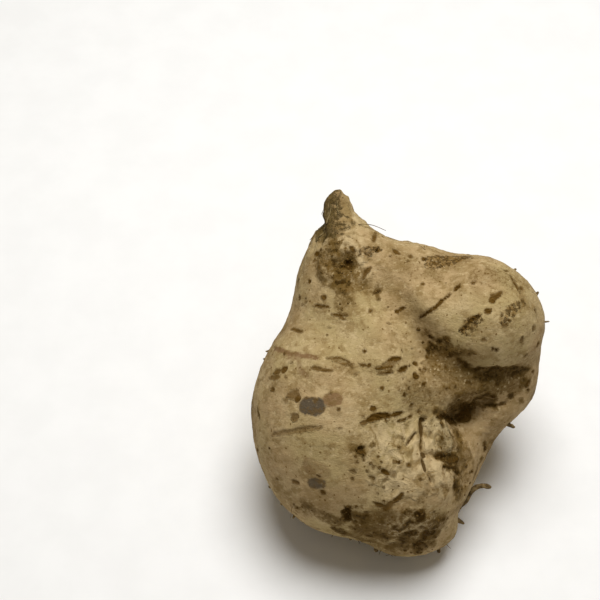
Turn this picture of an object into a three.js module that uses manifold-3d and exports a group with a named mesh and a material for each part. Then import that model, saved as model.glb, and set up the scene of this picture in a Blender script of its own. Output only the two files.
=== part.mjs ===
// A lumpy, pale-skinned sweet potato that lies on its rounded underside with its woody neck raised.
// It is one grown piece, so it is one mesh: swollen lobes that run into each other, a neck that ends
// where the vine was cut, and one thin side root near the root end. Millimetres, +Z up, standing on
// the plane Z = 0, with the neck towards +Y.
//
// The lobes are set out in the root's own frame: X across it, Y from the root end towards the neck,
// and Z out of the side that faces up and forward. The root leans back to lie down.
import * as THREE from "three";
import { mergeVertices } from "three/addons/utils/BufferGeometryUtils.js";
import Module from "manifold-3d";

const NECK_RISE = 38; // degrees between the root's own length and the table
const MIDDLE_HEIGHT = 46; // height over the table of the root's own origin, its middle
const SKIN_STEP = 2.8; // spacing of the skin's facets
const SOFT = 9; // how widely two lobes run into each other
const FIRM = 5; // the same where they meet in a crease
const NECK_RADIUS = 4.6; // at the cut tip
const SIDE_ROOT_RADIUS = 0.9;
const SIDE_ROOT_SIDES = 8;

// ---------------------------------------------------------------- the field of the flesh
// Each piece of the form is a function of a point: negative inside, positive outside, in millimetres.

function lobe(centre, radii, turn = [0, 0, 0]) {
  const middle = new THREE.Vector3(...centre);
  const radius = new THREE.Vector3(...radii);
  const squared = radius.clone().multiply(radius);
  const back = new THREE.Matrix4()
    .makeRotationFromEuler(new THREE.Euler(...turn.map(THREE.MathUtils.degToRad)))
    .invert();
  const local = new THREE.Vector3();
  const scaled = new THREE.Vector3();
  return (p) => {
    local.copy(p).sub(middle).applyMatrix4(back);
    const reach = scaled.copy(local).divide(radius).length();
    const slope = scaled.copy(local).divide(squared).length();
    return slope < 1e-9 ? -Math.min(...radii) : (reach * (reach - 1)) / slope;
  };
}

// A rounded stretch between two points whose radius runs from one size to another.
function taper(from, to, startRadius, endRadius) {
  const start = new THREE.Vector3(...from);
  const run = new THREE.Vector3(...to).sub(start);
  const local = new THREE.Vector3();
  return (p) => {
    local.copy(p).sub(start);
    const along = THREE.MathUtils.clamp(local.dot(run) / run.lengthSq(), 0, 1);
    local.addScaledVector(run, -along);
    return local.length() - THREE.MathUtils.lerp(startRadius, endRadius, along);
  };
}

function furrow(points, radius) {
  const stretches = points.slice(1).map((to, i) => taper(points[i], to, radius, radius));
  return (p) => Math.min(...stretches.map((stretch) => stretch(p)));
}

function melt(a, b, width) {
  const share = THREE.MathUtils.clamp(0.5 + (0.5 * (b - a)) / width, 0, 1);
  return THREE.MathUtils.lerp(b, a, share) - width * share * (1 - share);
}

function press(a, dent, width) {
  return -melt(-a, dent, width);
}

// ---------------------------------------------------------------- the lobes and the folds
const lobes = [
  { form: lobe([-4, -6, -12], [38, 42, 33]), blend: SOFT }, // heart of the root, under the others
  { form: lobe([-20, -17.5, 3], [31, 39.5, 32], [0, 0, 8]), blend: SOFT }, // big left swelling
  { form: lobe([-5, 3, 6.5], [17, 26, 24]), blend: SOFT }, // its right shoulder
  { form: lobe([-16, 24, 1], [20.5, 27, 22], [0, 0, 4]), blend: SOFT }, // under the neck
  { form: lobe([0, -34, 5], [24, 24, 26]), blend: SOFT }, // lower front swelling
  { form: lobe([12.5, -29, 2], [14.5, 19, 19.5]), blend: FIRM }, // its right side
  { form: lobe([4, -53, 0], [17, 11, 14]), blend: FIRM }, // root end
  { form: lobe([27, 18, 6], [23, 23.3, 25.5], [0, 0, -12]), blend: FIRM }, // right swelling
  { form: lobe([9, 20.5, 9.5], [11, 17, 19], [0, 0, 30]), blend: FIRM }, // its left side
  { form: lobe([29, -1.5, -5], [20.5, 18, 22]), blend: SOFT }, // what it overhangs
  { form: lobe([12, -2, 8], [14, 14, 15]), blend: SOFT }, // floor of the fold
  { form: taper([31, -13, 2], [20.5, -32, 0], 8, 6.5), blend: FIRM }, // right flank
  { form: lobe([13.5, -22, 12], [8, 9, 9.5]), blend: FIRM }, // knob beside the deep hollow
  { form: lobe([7, 33, 2], [24, 12, 17], [0, 0, -14]), blend: FIRM }, // ridge from neck to right
  { form: taper([-19, 44, 3], [-13, 32, 3], 8, 14), blend: SOFT }, // foot of the neck
  { form: taper([-21.5, 58.5, 2], [-19, 44, 3], NECK_RADIUS, 8), blend: FIRM }, // neck
];
const dents = [
  // valley from the foot of the neck to the fold
  { form: furrow([[-13, 35, 23], [-9, 30, 25], [-3, 22, 26.5], [2, 15, 28], [7, 8, 28]], 5), blend: 6 },
  // fold under the right swelling
  { form: furrow([[7, 8, 30], [15, 2.5, 28.5], [24, -1, 25], [34, -2.5, 21], [43, -1, 17]], 4), blend: FIRM },
  { form: lobe([-16, 38, 25], [7, 6, 8]), blend: 7 }, // hollow at the foot of the neck
  { form: lobe([23, -14.5, 19], [8, 5, 10]), blend: FIRM }, // deep hollow below the fold
  { form: furrow([[26, -13, 18], [34, -10, 16], [40, -8, 13]], 3.5), blend: FIRM }, // its tail
  { form: furrow([[26, -18, 22], [25, -26, 24], [24, -34, 24]], 4), blend: SOFT }, // down the flank
  // shallow waves on the side that faces the table and the back
  { form: furrow([[30, 30, -34], [12, 6, -52], [-6, -26, -50]], 7), blend: 12 },
  { form: furrow([[-34, 30, -24], [-32, 4, -42], [-26, -26, -44]], 6), blend: 12 },
];

function flesh(p) {
  const swollen = lobes.reduce((d, each) => melt(d, each.form(p), each.blend), 1e3);
  return dents.reduce((d, each) => press(d, each.form(p), each.blend), swollen);
}

// ---------------------------------------------------------------- the skin over the flesh
const lieDown = new THREE.Matrix4()
  .makeTranslation(0, 0, MIDDLE_HEIGHT)
  .multiply(new THREE.Matrix4().makeRotationX(THREE.MathUtils.degToRad(NECK_RISE)));
const standUp = lieDown.clone().invert();

function depth(p) {
  return flesh(p.clone().applyMatrix4(standUp));
}

function normalAt(p) {
  const reach = 0.5;
  const slope = new THREE.Vector3();
  for (const axis of ["x", "y", "z"]) {
    const ahead = p.clone();
    const behind = p.clone();
    ahead[axis] += reach;
    behind[axis] -= reach;
    slope[axis] = (depth(ahead) - depth(behind)) / (2 * reach);
  }
  return slope;
}

// Surface nets: one vertex in each grid cell that the surface passes through, moved onto the
// surface, and one quad around each grid edge that crosses it.
function skinOf(low, high, step) {
  const counts = ["x", "y", "z"].map((axis) => Math.ceil((high[axis] - low[axis]) / step) + 1);
  const [nx, ny, nz] = counts;
  const index = (i, j, k) => i + nx * (j + ny * k);
  const place = (i, j, k) => new THREE.Vector3(i, j, k).multiplyScalar(step).add(low);
  const values = new Float32Array(nx * ny * nz);
  for (let k = 0; k < nz; k++)
    for (let j = 0; j < ny; j++)
      for (let i = 0; i < nx; i++) values[index(i, j, k)] = depth(place(i, j, k));

  const corners = [];
  for (let c = 0; c < 8; c++) corners.push([c & 1, (c >> 1) & 1, (c >> 2) & 1]);
  const edges = [];
  for (let a = 0; a < 8; a++)
    for (const bit of [1, 2, 4]) if (!(a & bit)) edges.push([a, a | bit]);

  const vertexOf = new Map();
  const vertices = [];
  for (let k = 0; k < nz - 1; k++)
    for (let j = 0; j < ny - 1; j++)
      for (let i = 0; i < nx - 1; i++) {
        const sum = new THREE.Vector3();
        let crossings = 0;
        for (const [a, b] of edges) {
          const [ca, cb] = [corners[a], corners[b]];
          const va = values[index(i + ca[0], j + ca[1], k + ca[2])];
          const vb = values[index(i + cb[0], j + cb[1], k + cb[2])];
          if (va < 0 === vb < 0) continue;
          const from = place(i + ca[0], j + ca[1], k + ca[2]);
          const to = place(i + cb[0], j + cb[1], k + cb[2]);
          sum.add(from.lerp(to, va / (va - vb)));
          crossings++;
        }
        if (!crossings) continue;
        const vertex = sum.divideScalar(crossings);
        for (let pass = 0; pass < 3; pass++) {
          const slope = normalAt(vertex);
          vertex.addScaledVector(slope, -depth(vertex) / slope.lengthSq());
        }
        vertexOf.set(index(i, j, k), vertices.length);
        vertices.push(vertex);
      }

  const triangles = [];
  const steps = [[1, 0, 0], [0, 1, 0], [0, 0, 1]];
  for (let k = 1; k < nz - 1; k++)
    for (let j = 1; j < ny - 1; j++)
      for (let i = 1; i < nx - 1; i++)
        for (let axis = 0; axis < 3; axis++) {
          const [di, dj, dk] = steps[axis];
          const here = values[index(i, j, k)] < 0;
          const there = values[index(i + di, j + dj, k + dk)] < 0;
          if (here === there) continue;
          const u = steps[(axis + 1) % 3];
          const v = steps[(axis + 2) % 3];
          const around = [[0, 0], [1, 0], [1, 1], [0, 1]].map(([s, t]) =>
            vertexOf.get(index(i - s * u[0] - t * v[0], j - s * u[1] - t * v[1], k - s * u[2] - t * v[2])),
          );
          const [a, b, c, d] = here ? around : around.reverse();
          const shortWay = vertices[a].distanceTo(vertices[c]) <= vertices[b].distanceTo(vertices[d]);
          triangles.push(...(shortWay ? [a, b, c, a, c, d] : [a, b, d, b, c, d]));
        }
  return { vertices, triangles };
}

function fleshGeometry() {
  const low = new THREE.Vector3(-62, -66, -8);
  const high = new THREE.Vector3(62, 66, 100);
  const { vertices, triangles } = skinOf(low, high, SKIN_STEP);
  for (const vertex of vertices) vertex.z = Math.max(vertex.z, 0); // flat where it rests
  const geometry = new THREE.BufferGeometry().setFromPoints(vertices);
  return geometry.setIndex(triangles);
}

// ---------------------------------------------------------------- the side root
function sideRootGeometry() {
  const path = new THREE.CatmullRomCurve3(
    [[17, -48, -1], [22.5, -45.5, 1.5], [25.6, -41, 3], [28.8, -39.3, 3.5], [32.2, -40, 3]].map((at) =>
      new THREE.Vector3(...at).applyMatrix4(lieDown),
    ),
  );
  const section = new THREE.Shape();
  section.absarc(0, 0, SIDE_ROOT_RADIUS, 0, 2 * Math.PI);
  return new THREE.ExtrudeGeometry(section, {
    steps: 12,
    curveSegments: SIDE_ROOT_SIDES,
    extrudePath: path,
  });
}

// ---------------------------------------------------------------- joining them
const wasm = await Module();
wasm.setup();

function solidOf(geometry) {
  const bare = geometry.clone();
  bare.deleteAttribute("normal");
  bare.deleteAttribute("uv");
  const merged = mergeVertices(bare);
  return new wasm.Manifold(
    new wasm.Mesh({
      numProp: 3,
      vertProperties: merged.getAttribute("position").array,
      triVerts: new Uint32Array(merged.index.array),
    }),
  );
}

function geometryOf(solid) {
  const { vertProperties, triVerts } = solid.getMesh();
  const geometry = new THREE.BufferGeometry();
  geometry.setAttribute("position", new THREE.BufferAttribute(vertProperties, 3));
  geometry.setIndex(new THREE.BufferAttribute(triVerts, 1));
  geometry.computeVertexNormals();
  return geometry;
}

// ---------------------------------------------------------------- the tuber
const grown = geometryOf(solidOf(fleshGeometry()).add(solidOf(sideRootGeometry())));
grown.computeBoundingBox();
const middle = grown.boundingBox.getCenter(new THREE.Vector3());
grown.translate(-middle.x, -middle.y, 0); // the origin is under the middle of its box

const tuber = new THREE.Mesh(
  grown,
  new THREE.MeshStandardMaterial({ color: 0xb8a476, roughness: 0.75, metalness: 0 }),
);
tuber.name = "tuber";

const sweetPotato = new THREE.Group();
sweetPotato.add(tuber);
export default sweetPotato;
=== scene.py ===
"""A raw sweet potato as it was dug: one pale, lumpy tuber lying on its underside with its neck raised.

Lengths are millimetres in the tuber's own frame: across it, up it towards the neck, and out of the
side that faces up and forward. to_row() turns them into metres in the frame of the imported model.
"""

import math

import bmesh
import bpy
import numpy as np
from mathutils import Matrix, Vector, noise
from mathutils.bvhtree import BVHTree


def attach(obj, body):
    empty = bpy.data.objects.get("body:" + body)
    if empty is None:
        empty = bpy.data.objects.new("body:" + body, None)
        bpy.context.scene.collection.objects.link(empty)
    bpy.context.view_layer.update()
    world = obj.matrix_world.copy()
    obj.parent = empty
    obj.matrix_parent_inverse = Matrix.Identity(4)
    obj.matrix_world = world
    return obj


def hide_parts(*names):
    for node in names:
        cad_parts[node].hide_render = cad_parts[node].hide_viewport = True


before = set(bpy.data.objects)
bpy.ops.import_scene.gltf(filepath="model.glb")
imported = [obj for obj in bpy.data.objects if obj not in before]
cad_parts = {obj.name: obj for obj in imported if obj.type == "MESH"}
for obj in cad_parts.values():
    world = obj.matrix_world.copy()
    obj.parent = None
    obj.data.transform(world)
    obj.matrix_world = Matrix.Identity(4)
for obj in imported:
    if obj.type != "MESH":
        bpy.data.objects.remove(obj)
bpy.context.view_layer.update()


# ---------------------------------------------------------------- the flesh
# The tuber is one swollen root that grew in lobes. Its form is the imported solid's, and here the skin
# over it is made fine enough to carve. The plain side root comes off, for a finer one further down.
MM = 0.001
NECK_RISE = math.radians(38)  # between the tuber's length and the table
MIDDLE = np.array([0.6, 2.7, 46.0])  # the tuber's own origin, in the row frame
ACROSS = np.array([1.0, 0.0, 0.0])
UP = np.array([0.0, math.cos(NECK_RISE), math.sin(NECK_RISE)])
OUT = np.array([0.0, -math.sin(NECK_RISE), math.cos(NECK_RISE)])
OWN_AXES = np.stack([ACROSS, UP, OUT])
SIDE_ROOT_ROUTE = [(17, -48, -1), (22.5, -45.5, 1.5), (25.6, -41, 3), (28.8, -39.3, 3.5), (32.2, -40, 3)]
SIDE_ROOT_CUT = 1.35  # all skin this near the route comes off with the plain side root
ROUTE_STEPS = 6  # from one point of a route to the next
WELD = 0.001  # corners of the solid's facets nearer than this are one corner
PAIR_BEND = math.radians(40)  # two facets that bend less than this become one four-sided face,
PAIR_SKEW = math.radians(60)  # if its corners are also within this of square
FINE_LEVELS = 2


def to_own(places):
    return (np.asarray(places) / MM - MIDDLE) @ OWN_AXES.T


def to_row(own):
    return (np.asarray(own) @ OWN_AXES + MIDDLE) * MM


def smooth_route(points):
    """A smooth line through the points, with ROUTE_STEPS steps from each to the next."""
    knots = [np.array(p, float) for p in points]
    knots = [2 * knots[0] - knots[1], *knots, 2 * knots[-1] - knots[-2]]
    line = []
    for before, start, end, after in zip(knots, knots[1:], knots[2:], knots[3:]):
        for t in np.arange(ROUTE_STEPS) / ROUTE_STEPS:
            pull_in = (end - before) / 2
            pull_out = (after - start) / 2
            line.append(
                (2 * t**3 - 3 * t**2 + 1) * start
                + (t**3 - 2 * t**2 + t) * pull_in
                + (3 * t**2 - 2 * t**3) * end
                + (t**3 - t**2) * pull_out
            )
    return np.array([*line, knots[-2]])


def nearest_on(places, line):
    """For each place, the distance to the line and how far along it the nearest point lies, 0 to 1."""
    best = np.full(len(places), np.inf)
    along = np.zeros(len(places))
    for i, (start, end) in enumerate(zip(line, line[1:])):
        run = end - start
        t = np.clip((places - start) @ run / max(run @ run, 1e-9), 0, 1)
        gap = np.linalg.norm(places - start - t[:, None] * run, axis=1)
        closer = gap < best
        best[closer] = gap[closer]
        along[closer] = (i + t[closer]) / (len(line) - 1)
    return best, along


def fine_flesh():
    """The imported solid's mesh without its side root, welded, paired into quads and subdivided."""
    rough = bmesh.new()
    rough.from_mesh(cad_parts["tuber"].data)
    bmesh.ops.remove_doubles(rough, verts=rough.verts, dist=WELD * MM)
    places = to_own([v.co for v in rough.verts])
    gap, _ = nearest_on(places, smooth_route(SIDE_ROOT_ROUTE))
    root = [v for v, near in zip(rough.verts, gap < SIDE_ROOT_CUT) if near]
    bmesh.ops.delete(rough, geom=root, context="VERTS")
    bmesh.ops.holes_fill(rough, edges=[e for e in rough.edges if e.is_boundary], sides=0)
    bmesh.ops.triangulate(rough, faces=[f for f in rough.faces if len(f.verts) > 4])
    bmesh.ops.join_triangles(
        rough,
        faces=rough.faces,
        angle_face_threshold=PAIR_BEND,
        angle_shape_threshold=PAIR_SKEW,
    )
    mesh = bpy.data.meshes.new("rough_flesh")
    rough.to_mesh(mesh)
    rough.free()
    carrier = bpy.data.objects.new("rough_flesh", mesh)
    bpy.context.scene.collection.objects.link(carrier)
    carrier.modifiers.new("fine", "SUBSURF").levels = FINE_LEVELS
    shown = carrier.evaluated_get(bpy.context.evaluated_depsgraph_get())
    fine = bpy.data.meshes.new_from_object(shown)
    bpy.data.objects.remove(carrier)
    return fine


def read(collection, field, width):
    """One field of all points, normals or edges of a mesh, a row of the given width for each."""
    found = np.zeros(len(collection) * width, np.float32)
    collection.foreach_get(field, found)
    return found.reshape(-1, width).astype(float)


skin_mesh = fine_flesh()
skin_mesh.name = "tuber_skin"
skin_mesh.materials.clear()
skin_mesh.shade_smooth()
for old in [a.name for a in skin_mesh.attributes if a.name == "custom_normal"]:
    skin_mesh.attributes.remove(skin_mesh.attributes[old])

body = to_own(read(skin_mesh.vertices, "co", 3))
facing = read(skin_mesh.vertex_normals, "vector", 3) @ OWN_AXES.T
faces = [tuple(f.vertices) for f in skin_mesh.polygons]
tree = BVHTree.FromPolygons(body.tolist(), faces)
edges = read(skin_mesh.edges, "vertices", 2).astype(int)


# ---------------------------------------------------------------- swells, wrinkles and mottles
# The thin buff skin, mottled with cream and a duller tan, is less smooth than the flesh. It swells
# and dips over a centimetre, and wrinkles across its length where it dried. All relief is gathered
# first, and the skin is moved by it along its own normal further down.
SWELLS = [(0.55, 15, 1), (0.28, 6, 2)]  # height, size and seed of each
WRINKLE_HEIGHT = 0.10
WRINKLE_SIZE = np.array([9.0, 2.2, 9.0])  # long across the tuber and short along it
GRIT_HEIGHT = 0.05
GRIT_SIZE = 1.6
FLAT_EDGE = (40, 36, 5)  # the right swelling is pressed flatter round this place,
FLAT_SPREAD = 13  # about as far as this
FLAT_DEPTH = 2.2
PINK_TAN = (0.420, 0.296, 0.148)
OLIVE_TAN = (0.408, 0.308, 0.143)
DULL_TAN = (0.225, 0.145, 0.050)
CREAM = (0.56, 0.431, 0.236)
TAN_PATCH = 26
MOTTLES = [  # size, noise detail and roughness, where the mottle starts and is full, strength, tint
    (9, 4, 0.60, 0.50, 0.64, 0.50, CREAM),
    (12, 3, 0.60, 0.48, 0.66, 0.50, DULL_TAN),
    (4.5, 6, 0.68, 0.47, 0.62, 0.70, DULL_TAN),
]
SMEAR_SIZE = (2.3, 1.5, 2.3)


def swell(places, size, seed):
    """Soft noise from about -1 to 1, with swells of the given size, in mm or in mm per axis."""
    shifted = places / size + np.array([seed * 17.3, seed * 5.9, seed * 11.1])
    return np.array([noise.noise(Vector(p)) for p in shifted])


def bell(value, spread):
    """1 where the value is 0, falling away on both sides to about a third at the spread."""
    return np.exp(-((value / spread) ** 2))


class Finish:
    """A surface finish made of nodes. Most calls add a node or two and hand back the output."""

    def __init__(self, name):
        self.material = bpy.data.materials.new(name)
        self.material.use_nodes = True
        self.nodes = self.material.node_tree.nodes
        self.links = self.material.node_tree.links
        self.nodes.clear()
        self.colour = None

    def feed(self, socket, value):
        """Link another node's output to the socket, or set it to a constant."""
        if isinstance(value, bpy.types.NodeSocket):
            self.links.new(value, socket)
        else:
            socket.default_value = value

    def add(self, kind, inputs, output=0, **settings):
        """A new node with its inputs fed; inputs and output go by name or by number."""
        node = self.nodes.new(kind)
        for name, value in settings.items():
            setattr(node, name, value)
        for name, value in inputs.items():
            self.feed(node.inputs[name], value)
        return node.outputs[output]

    def layer(self, name):
        """A layer stored on the mesh, as one number."""
        return self.add("ShaderNodeAttribute", {}, "Fac", attribute_name=name)

    def place(self, name):
        """A layer stored on the mesh, as a place in mm."""
        return self.add("ShaderNodeAttribute", {}, "Vector", attribute_name=name)

    def maths(self, operation, a, b=0.0, c=0.0):
        return self.add("ShaderNodeMath", {0: a, 1: b, 2: c}, operation=operation)

    def times(self, a, b):
        return self.maths("MULTIPLY", a, b)

    def vector(self, operation, a, b):
        return self.add("ShaderNodeVectorMath", {0: a, 1: b}, operation=operation)

    def stretch(self, place, sizes):
        """The place measured in units of the given sizes, so that noise on it is that much stretched."""
        return self.vector("DIVIDE", place, sizes)

    def cloud(self, place, size=1.0, detail=3.0, rough=0.55, twist=0.0):
        """Soft noise from 0 to 1, mostly near 0.5, with patches of the given size in mm."""
        inputs = {"Vector": place, "Scale": 1 / size, "Detail": detail, "Roughness": rough}
        return self.add("ShaderNodeTexNoise", {**inputs, "Distortion": twist}, "Fac")

    def span(self, value, start, end, low=0.0, high=1.0):
        """low where the value is at start, high where it is at end, smooth between."""
        inputs = {"Value": value, "From Min": start, "From Max": end, "To Min": low, "To Max": high}
        return self.add("ShaderNodeMapRange", inputs, interpolation_type="SMOOTHSTEP")

    def noisy(self, layer, cloud, depth, middle=0.5):
        """The layer with noise added: the cloud about its middle, times depth."""
        return self.maths("MULTIPLY_ADD", self.maths("SUBTRACT", cloud, middle), depth, layer)

    def ragged(self, layer, place, size, depth, soft):
        """1 inside a stored edge, 0 outside, with the edge broken up by noise."""
        return self.span(self.noisy(layer, self.cloud(place, size, 4, 0.65), depth), soft, -soft)

    def blend(self, share, first, second):
        """The first colour where the share is 0, the second where it is 1."""
        colours = [c if isinstance(c, bpy.types.NodeSocket) else (*c, 1) for c in (first, second)]
        inputs = {"Factor": share, 6: colours[0], 7: colours[1]}
        return self.add("ShaderNodeMix", inputs, 2, data_type="RGBA")

    def lay(self, tint, share):
        """Lay a tint over the colour so far, by the given share."""
        self.colour = self.blend(share, self.colour, tint)

    def dots(self, place, spacing, share, largest):
        """Small round dots: 1 in the middle of a dot, 0 outside. share of the cells have one."""
        cells = {"Vector": place, "Scale": 1 / spacing, "Randomness": 1.0}
        pattern = self.add("ShaderNodeTexVoronoi", cells, "Distance").node
        luck = self.add("ShaderNodeSeparateColor", {"Color": pattern.outputs["Color"]})
        radius = self.span(luck, 1 - share, 1, 0, largest / spacing)
        return self.span(self.maths("SUBTRACT", pattern.outputs["Distance"], radius), 0.06, -0.10)

    def relief(self, height, depth, normal=None):
        """A bump whose height 1 stands depth mm proud."""
        inputs = {"Height": height, "Distance": depth * MM, "Strength": 1.0}
        if normal is not None:
            inputs["Normal"] = normal
        return self.add("ShaderNodeBump", inputs)

    def done(self, roughness, normal, **constants):
        inputs = {"Base Color": self.colour, "Roughness": roughness, "Normal": normal, **constants}
        shader = self.add("ShaderNodeBsdfPrincipled", inputs)
        self.feed(self.nodes.new("ShaderNodeOutputMaterial").inputs["Surface"], shader)
        return self.material


def lay_fresh_skin(f, grown, fine):
    """Two tans in wide patches, then mottles, smears and fine grain. Hands back the smears."""
    f.colour = f.blend(f.span(f.cloud(grown, TAN_PATCH, 2), 0.38, 0.62), OLIVE_TAN, PINK_TAN)
    for size, detail, rough, start, full, strength, tint in MOTTLES:
        f.lay(tint, f.span(f.cloud(grown, size, detail, rough), start, full, 0, strength))
    smear = f.cloud(f.stretch(grown, SMEAR_SIZE), 1, 6, 0.72)
    f.lay(DULL_TAN, f.span(smear, 0.55, 0.68, 0, 0.55))
    f.lay(CREAM, f.span(smear, 0.46, 0.35, 0, 0.65))
    f.lay(DULL_TAN, f.span(fine, 0.52, 0.75, 0, 0.30))
    return smear


raised = sum(height * swell(body, size, seed) for height, size, seed in SWELLS)
warp = 2.0 * np.stack([swell(body, 12, 3), swell(body, 9, 4), np.zeros(len(body))], axis=1)
raised += WRINKLE_HEIGHT * swell(body + warp, WRINKLE_SIZE, 5)
raised += GRIT_HEIGHT * swell(body, GRIT_SIZE, 6)
raised -= FLAT_DEPTH * bell(np.linalg.norm(body - FLAT_EDGE, axis=1), FLAT_SPREAD)


# ---------------------------------------------------------------- marks laid on the skin
# Every scar, stain and crack is a stroke: a line on the skin with a width. Here is how a stroke is
# laid on the skin, and how the distance of each point of the skin to its edge is kept.
FAR = 9.0  # the longest distance that is kept
ABOVE_SKIN = 90  # out from the middle, clear of the whole tuber
LAID_STEP = 1.5
DOT_LENGTH = 0.01  # a stroke shorter than this is a round dot
STRAYS = [(1.5, 4.5, 20), (0.8, 1.6, 30)]  # how far an edge strays, over what length, and the seed


def on_front(across, up):
    """The point of the front skin with this place across and up."""
    hit = tree.ray_cast(Vector((across, up, ABOVE_SKIN)), Vector((0, 0, -1)))[0]
    return np.array(hit if hit else (across, up, 0.0))


def laid(points):
    """The (across, up) points joined by a line that lies on the front skin."""
    flat = [np.array(p, float) for p in points]
    line = [on_front(*flat[0])]
    for start, end in zip(flat, flat[1:]):
        count = max(1, round(np.linalg.norm(end - start) / LAID_STEP))
        line += [on_front(*(start + (end - start) * k / count)) for k in range(1, count + 1)]
    return np.array(line if len(line) > 1 else line * 2)


def wander(size, seed):
    """Noise along all three axes for each point of the skin."""
    return np.stack([swell(body, size, seed + axis) for axis in range(3)], axis=1)


drift = sum(far * wander(size, seed) for far, size, seed in STRAYS)


def edge_gap(line, width, blunt=0.5, stray=1.0):
    """Where the skin is near the stroke: which points, and their distance to its edge, inside < 0.
    blunt is 0 for full width up to the ends, and stray is how far the edge strays from a drawn one."""
    middle = line.mean(axis=0)
    reach = np.linalg.norm(line - middle, axis=1).max() + width + FAR
    near = np.flatnonzero(((body - middle) ** 2).sum(axis=1) < reach**2)
    gap, along = nearest_on(body[near] + stray * drift[near], line)
    if np.linalg.norm(line[-1] - line[0]) < DOT_LENGTH:
        return near, gap - width / 2
    return near, gap - width / 2 * (4 * along * (1 - along)) ** blunt


def fade(gap, reach):
    """1 inside a stroke, falling to 0 at reach outside its edge."""
    t = np.clip(1 - gap / reach, 0, 1)
    return t * t * (3 - 2 * t)


def keep_nearest(layer, near, gap, noted=()):
    """Keep the nearest stroke's distance, and what is noted of that stroke, each in its own layer."""
    nearer = gap < layer[near]
    layer[near[nearer]] = gap[nearer]
    for notes, value in noted:
        notes[near[nearer]] = value


def covered(strokes, reach, inset=0.0, blunt=0.2, stray=1.0, stray_more=0.0):
    """How strongly strokes (route, width, strength) cover the skin, fading out within reach of them."""
    cover = np.zeros(len(body))
    for route, width, strength in strokes:
        near, gap = edge_gap(laid(route), width, blunt, stray + stray_more * width)
        cover[near] = np.maximum(cover[near], strength * fade(gap + inset, reach))
    return cover


# ---------------------------------------------------------------- folds, pits and cracks
# Where two lobes press together the skin folds in. The deep hollow under the right swelling, the
# pits where thin roots broke off and one long crack are pressed in, and ridges stand out beside
# them. In four places the skin dried into crumples.
FOLDS = [  # route, width, depth, how softly it starts
    ([(20, 3.5), (26, 1.5), (34, 0.5), (42, 1.0)], 3.0, 1.2, 3.0),  # under the right swelling
    ([(22, -14), (26, -11), (30, -8)], 5.0, 1.6, 3.0),  # deep hollow
    ([(12, -13.5), (17, -15), (22, -15.5)], 2.2, 1.2, 1.8),  # its left arm
    ([(29, -9.5), (37, -10.4)], 2.0, 1.0, 1.8),  # its right tail
    ([(18.5, -19), (20, -25), (21, -31), (22, -37)], 3.0, 0.9, 3.0),  # down the right flank
    ([(9.5, -25.5), (14, -26.5), (18, -27.5)], 3.4, 1.4, 1.6),  # soil pit
    ([(12.5, -30), (16, -31), (20, -34)], 1.6, 0.8, 1.2),  # ledge below it
    ([(-17.6, 38.2)], 4.2, 1.9, 1.8),  # pit at the foot of the neck
    ([(-16, -22.6), (-14.8, -23.6)], 3.0, 1.3, 1.4),  # pit on the front
    ([(-19, -43.5), (-18.6, -49)], 3.2, 1.8, 1.8),  # pit near the root end
    ([(-23.3, 39.6), (-23.1, 37.6), (-22.4, 36.6), (-20.3, 36.3)], 1.8, 0.8, 1.0),
    ([(-22.5, 31), (-17.8, 31.2)], 1.8, 0.8, 1.2),
    ([(-9.5, 27.5), (-7.5, 29.5)], 1.6, 0.7, 1.2),
    ([(32, -21), (31, -24), (30, -27)], 4.0, 1.5, 4.5),  # hollow in the right flank
]
CRACKS = [  # route, width
    ([(5.9, -13.6), (6, -16.5), (6.1, -19.5)], 1.6),
    ([(6, -13.9), (7.6, -14.8)], 1.3),
    ([(6.1, -18), (6, -22), (6.1, -25)], 0.7),
    ([(5.7, -25.2), (6.6, -25.6), (7.4, -26.4)], 1.7),
    ([(6, -26.5), (6.3, -28.5), (6.9, -31.4)], 1.4),
    ([(7.3, -31.5), (8.9, -35)], 0.6),
    ([(4, -18.5), (2.3, -20.4), (0.6, -23.4)], 0.8),
    ([(28.8, -11.4), (33, -11.2), (36.6, -10.5)], 0.8),  # the deep hollow runs out in this one
]
RIDGES = [  # route, width, height, how softly it ends
    ([(8, -16), (8, -20), (8.4, -24)], 2.6, 0.5, 1.6),  # beside the crack
    ([(9.4, -27.5), (10.8, -31), (10.9, -37)], 2.4, 0.6, 2.2),
    ([(15.2, -31.5), (15.2, -36)], 2.2, 0.5, 1.8),
    ([(-20.4, 62)], 2.0, 1.3, 2.2),  # top of the neck
    ([(-18.2, 58.8), (-17.6, 60.2)], 1.0, 0.4, 0.8),
    ([(-14, 39), (-11.5, 35), (-12, 31)], 3.0, 0.7, 2.5),  # knots beside the neck's pit
    ([(-20, 34.5), (-16.5, 34)], 2.4, 0.6, 2.0),
    ([(-8, 38), (-5, 36)], 2.6, 0.4, 2.5),
    ([(9, -19), (12, -21), (11, -23)], 4.0, 0.5, 2.0),
    ([(-42.2, -38.6)], 2.6, 0.9, 2.0),  # lumps along the lower edge
    ([(-36.5, -43.5)], 2.4, 0.7, 2.0),
    ([(-27, -48.5)], 2.6, 0.7, 2.5),
    ([(-16, -53.5)], 2.4, 0.9, 2.0),
    ([(-4.5, -57)], 2.4, 0.8, 2.0),
]
CRUMPLED = [  # where the skin is crumpled: route, width, how strongly
    ([(-10, -18), (2, -25), (-4, -38)], 13.0, 1.0),
    ([(10, -17), (12, -26), (14, -38)], 8.0, 1.0),
    ([(-25, 42), (-15, 34)], 10.0, 1.0),
    ([(-4, -50), (8, -52)], 9.0, 1.0),
]
COARSE_CRUMPLE = 4.2
FINE_CRUMPLE = np.array([2.4, 3.4, 2.4])
CRUMPLE_FADE = 7
CRUMPLE_HEIGHT = 0.5
CALM_CRUMPLES = 0.2  # the share of it that the rest of the skin has
CRACK_DEPTH = 0.9
CRACK_SLOPE = 0.6  # how far outside its edge the skin starts to dip
CRACK_LIP = 0.25
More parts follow.
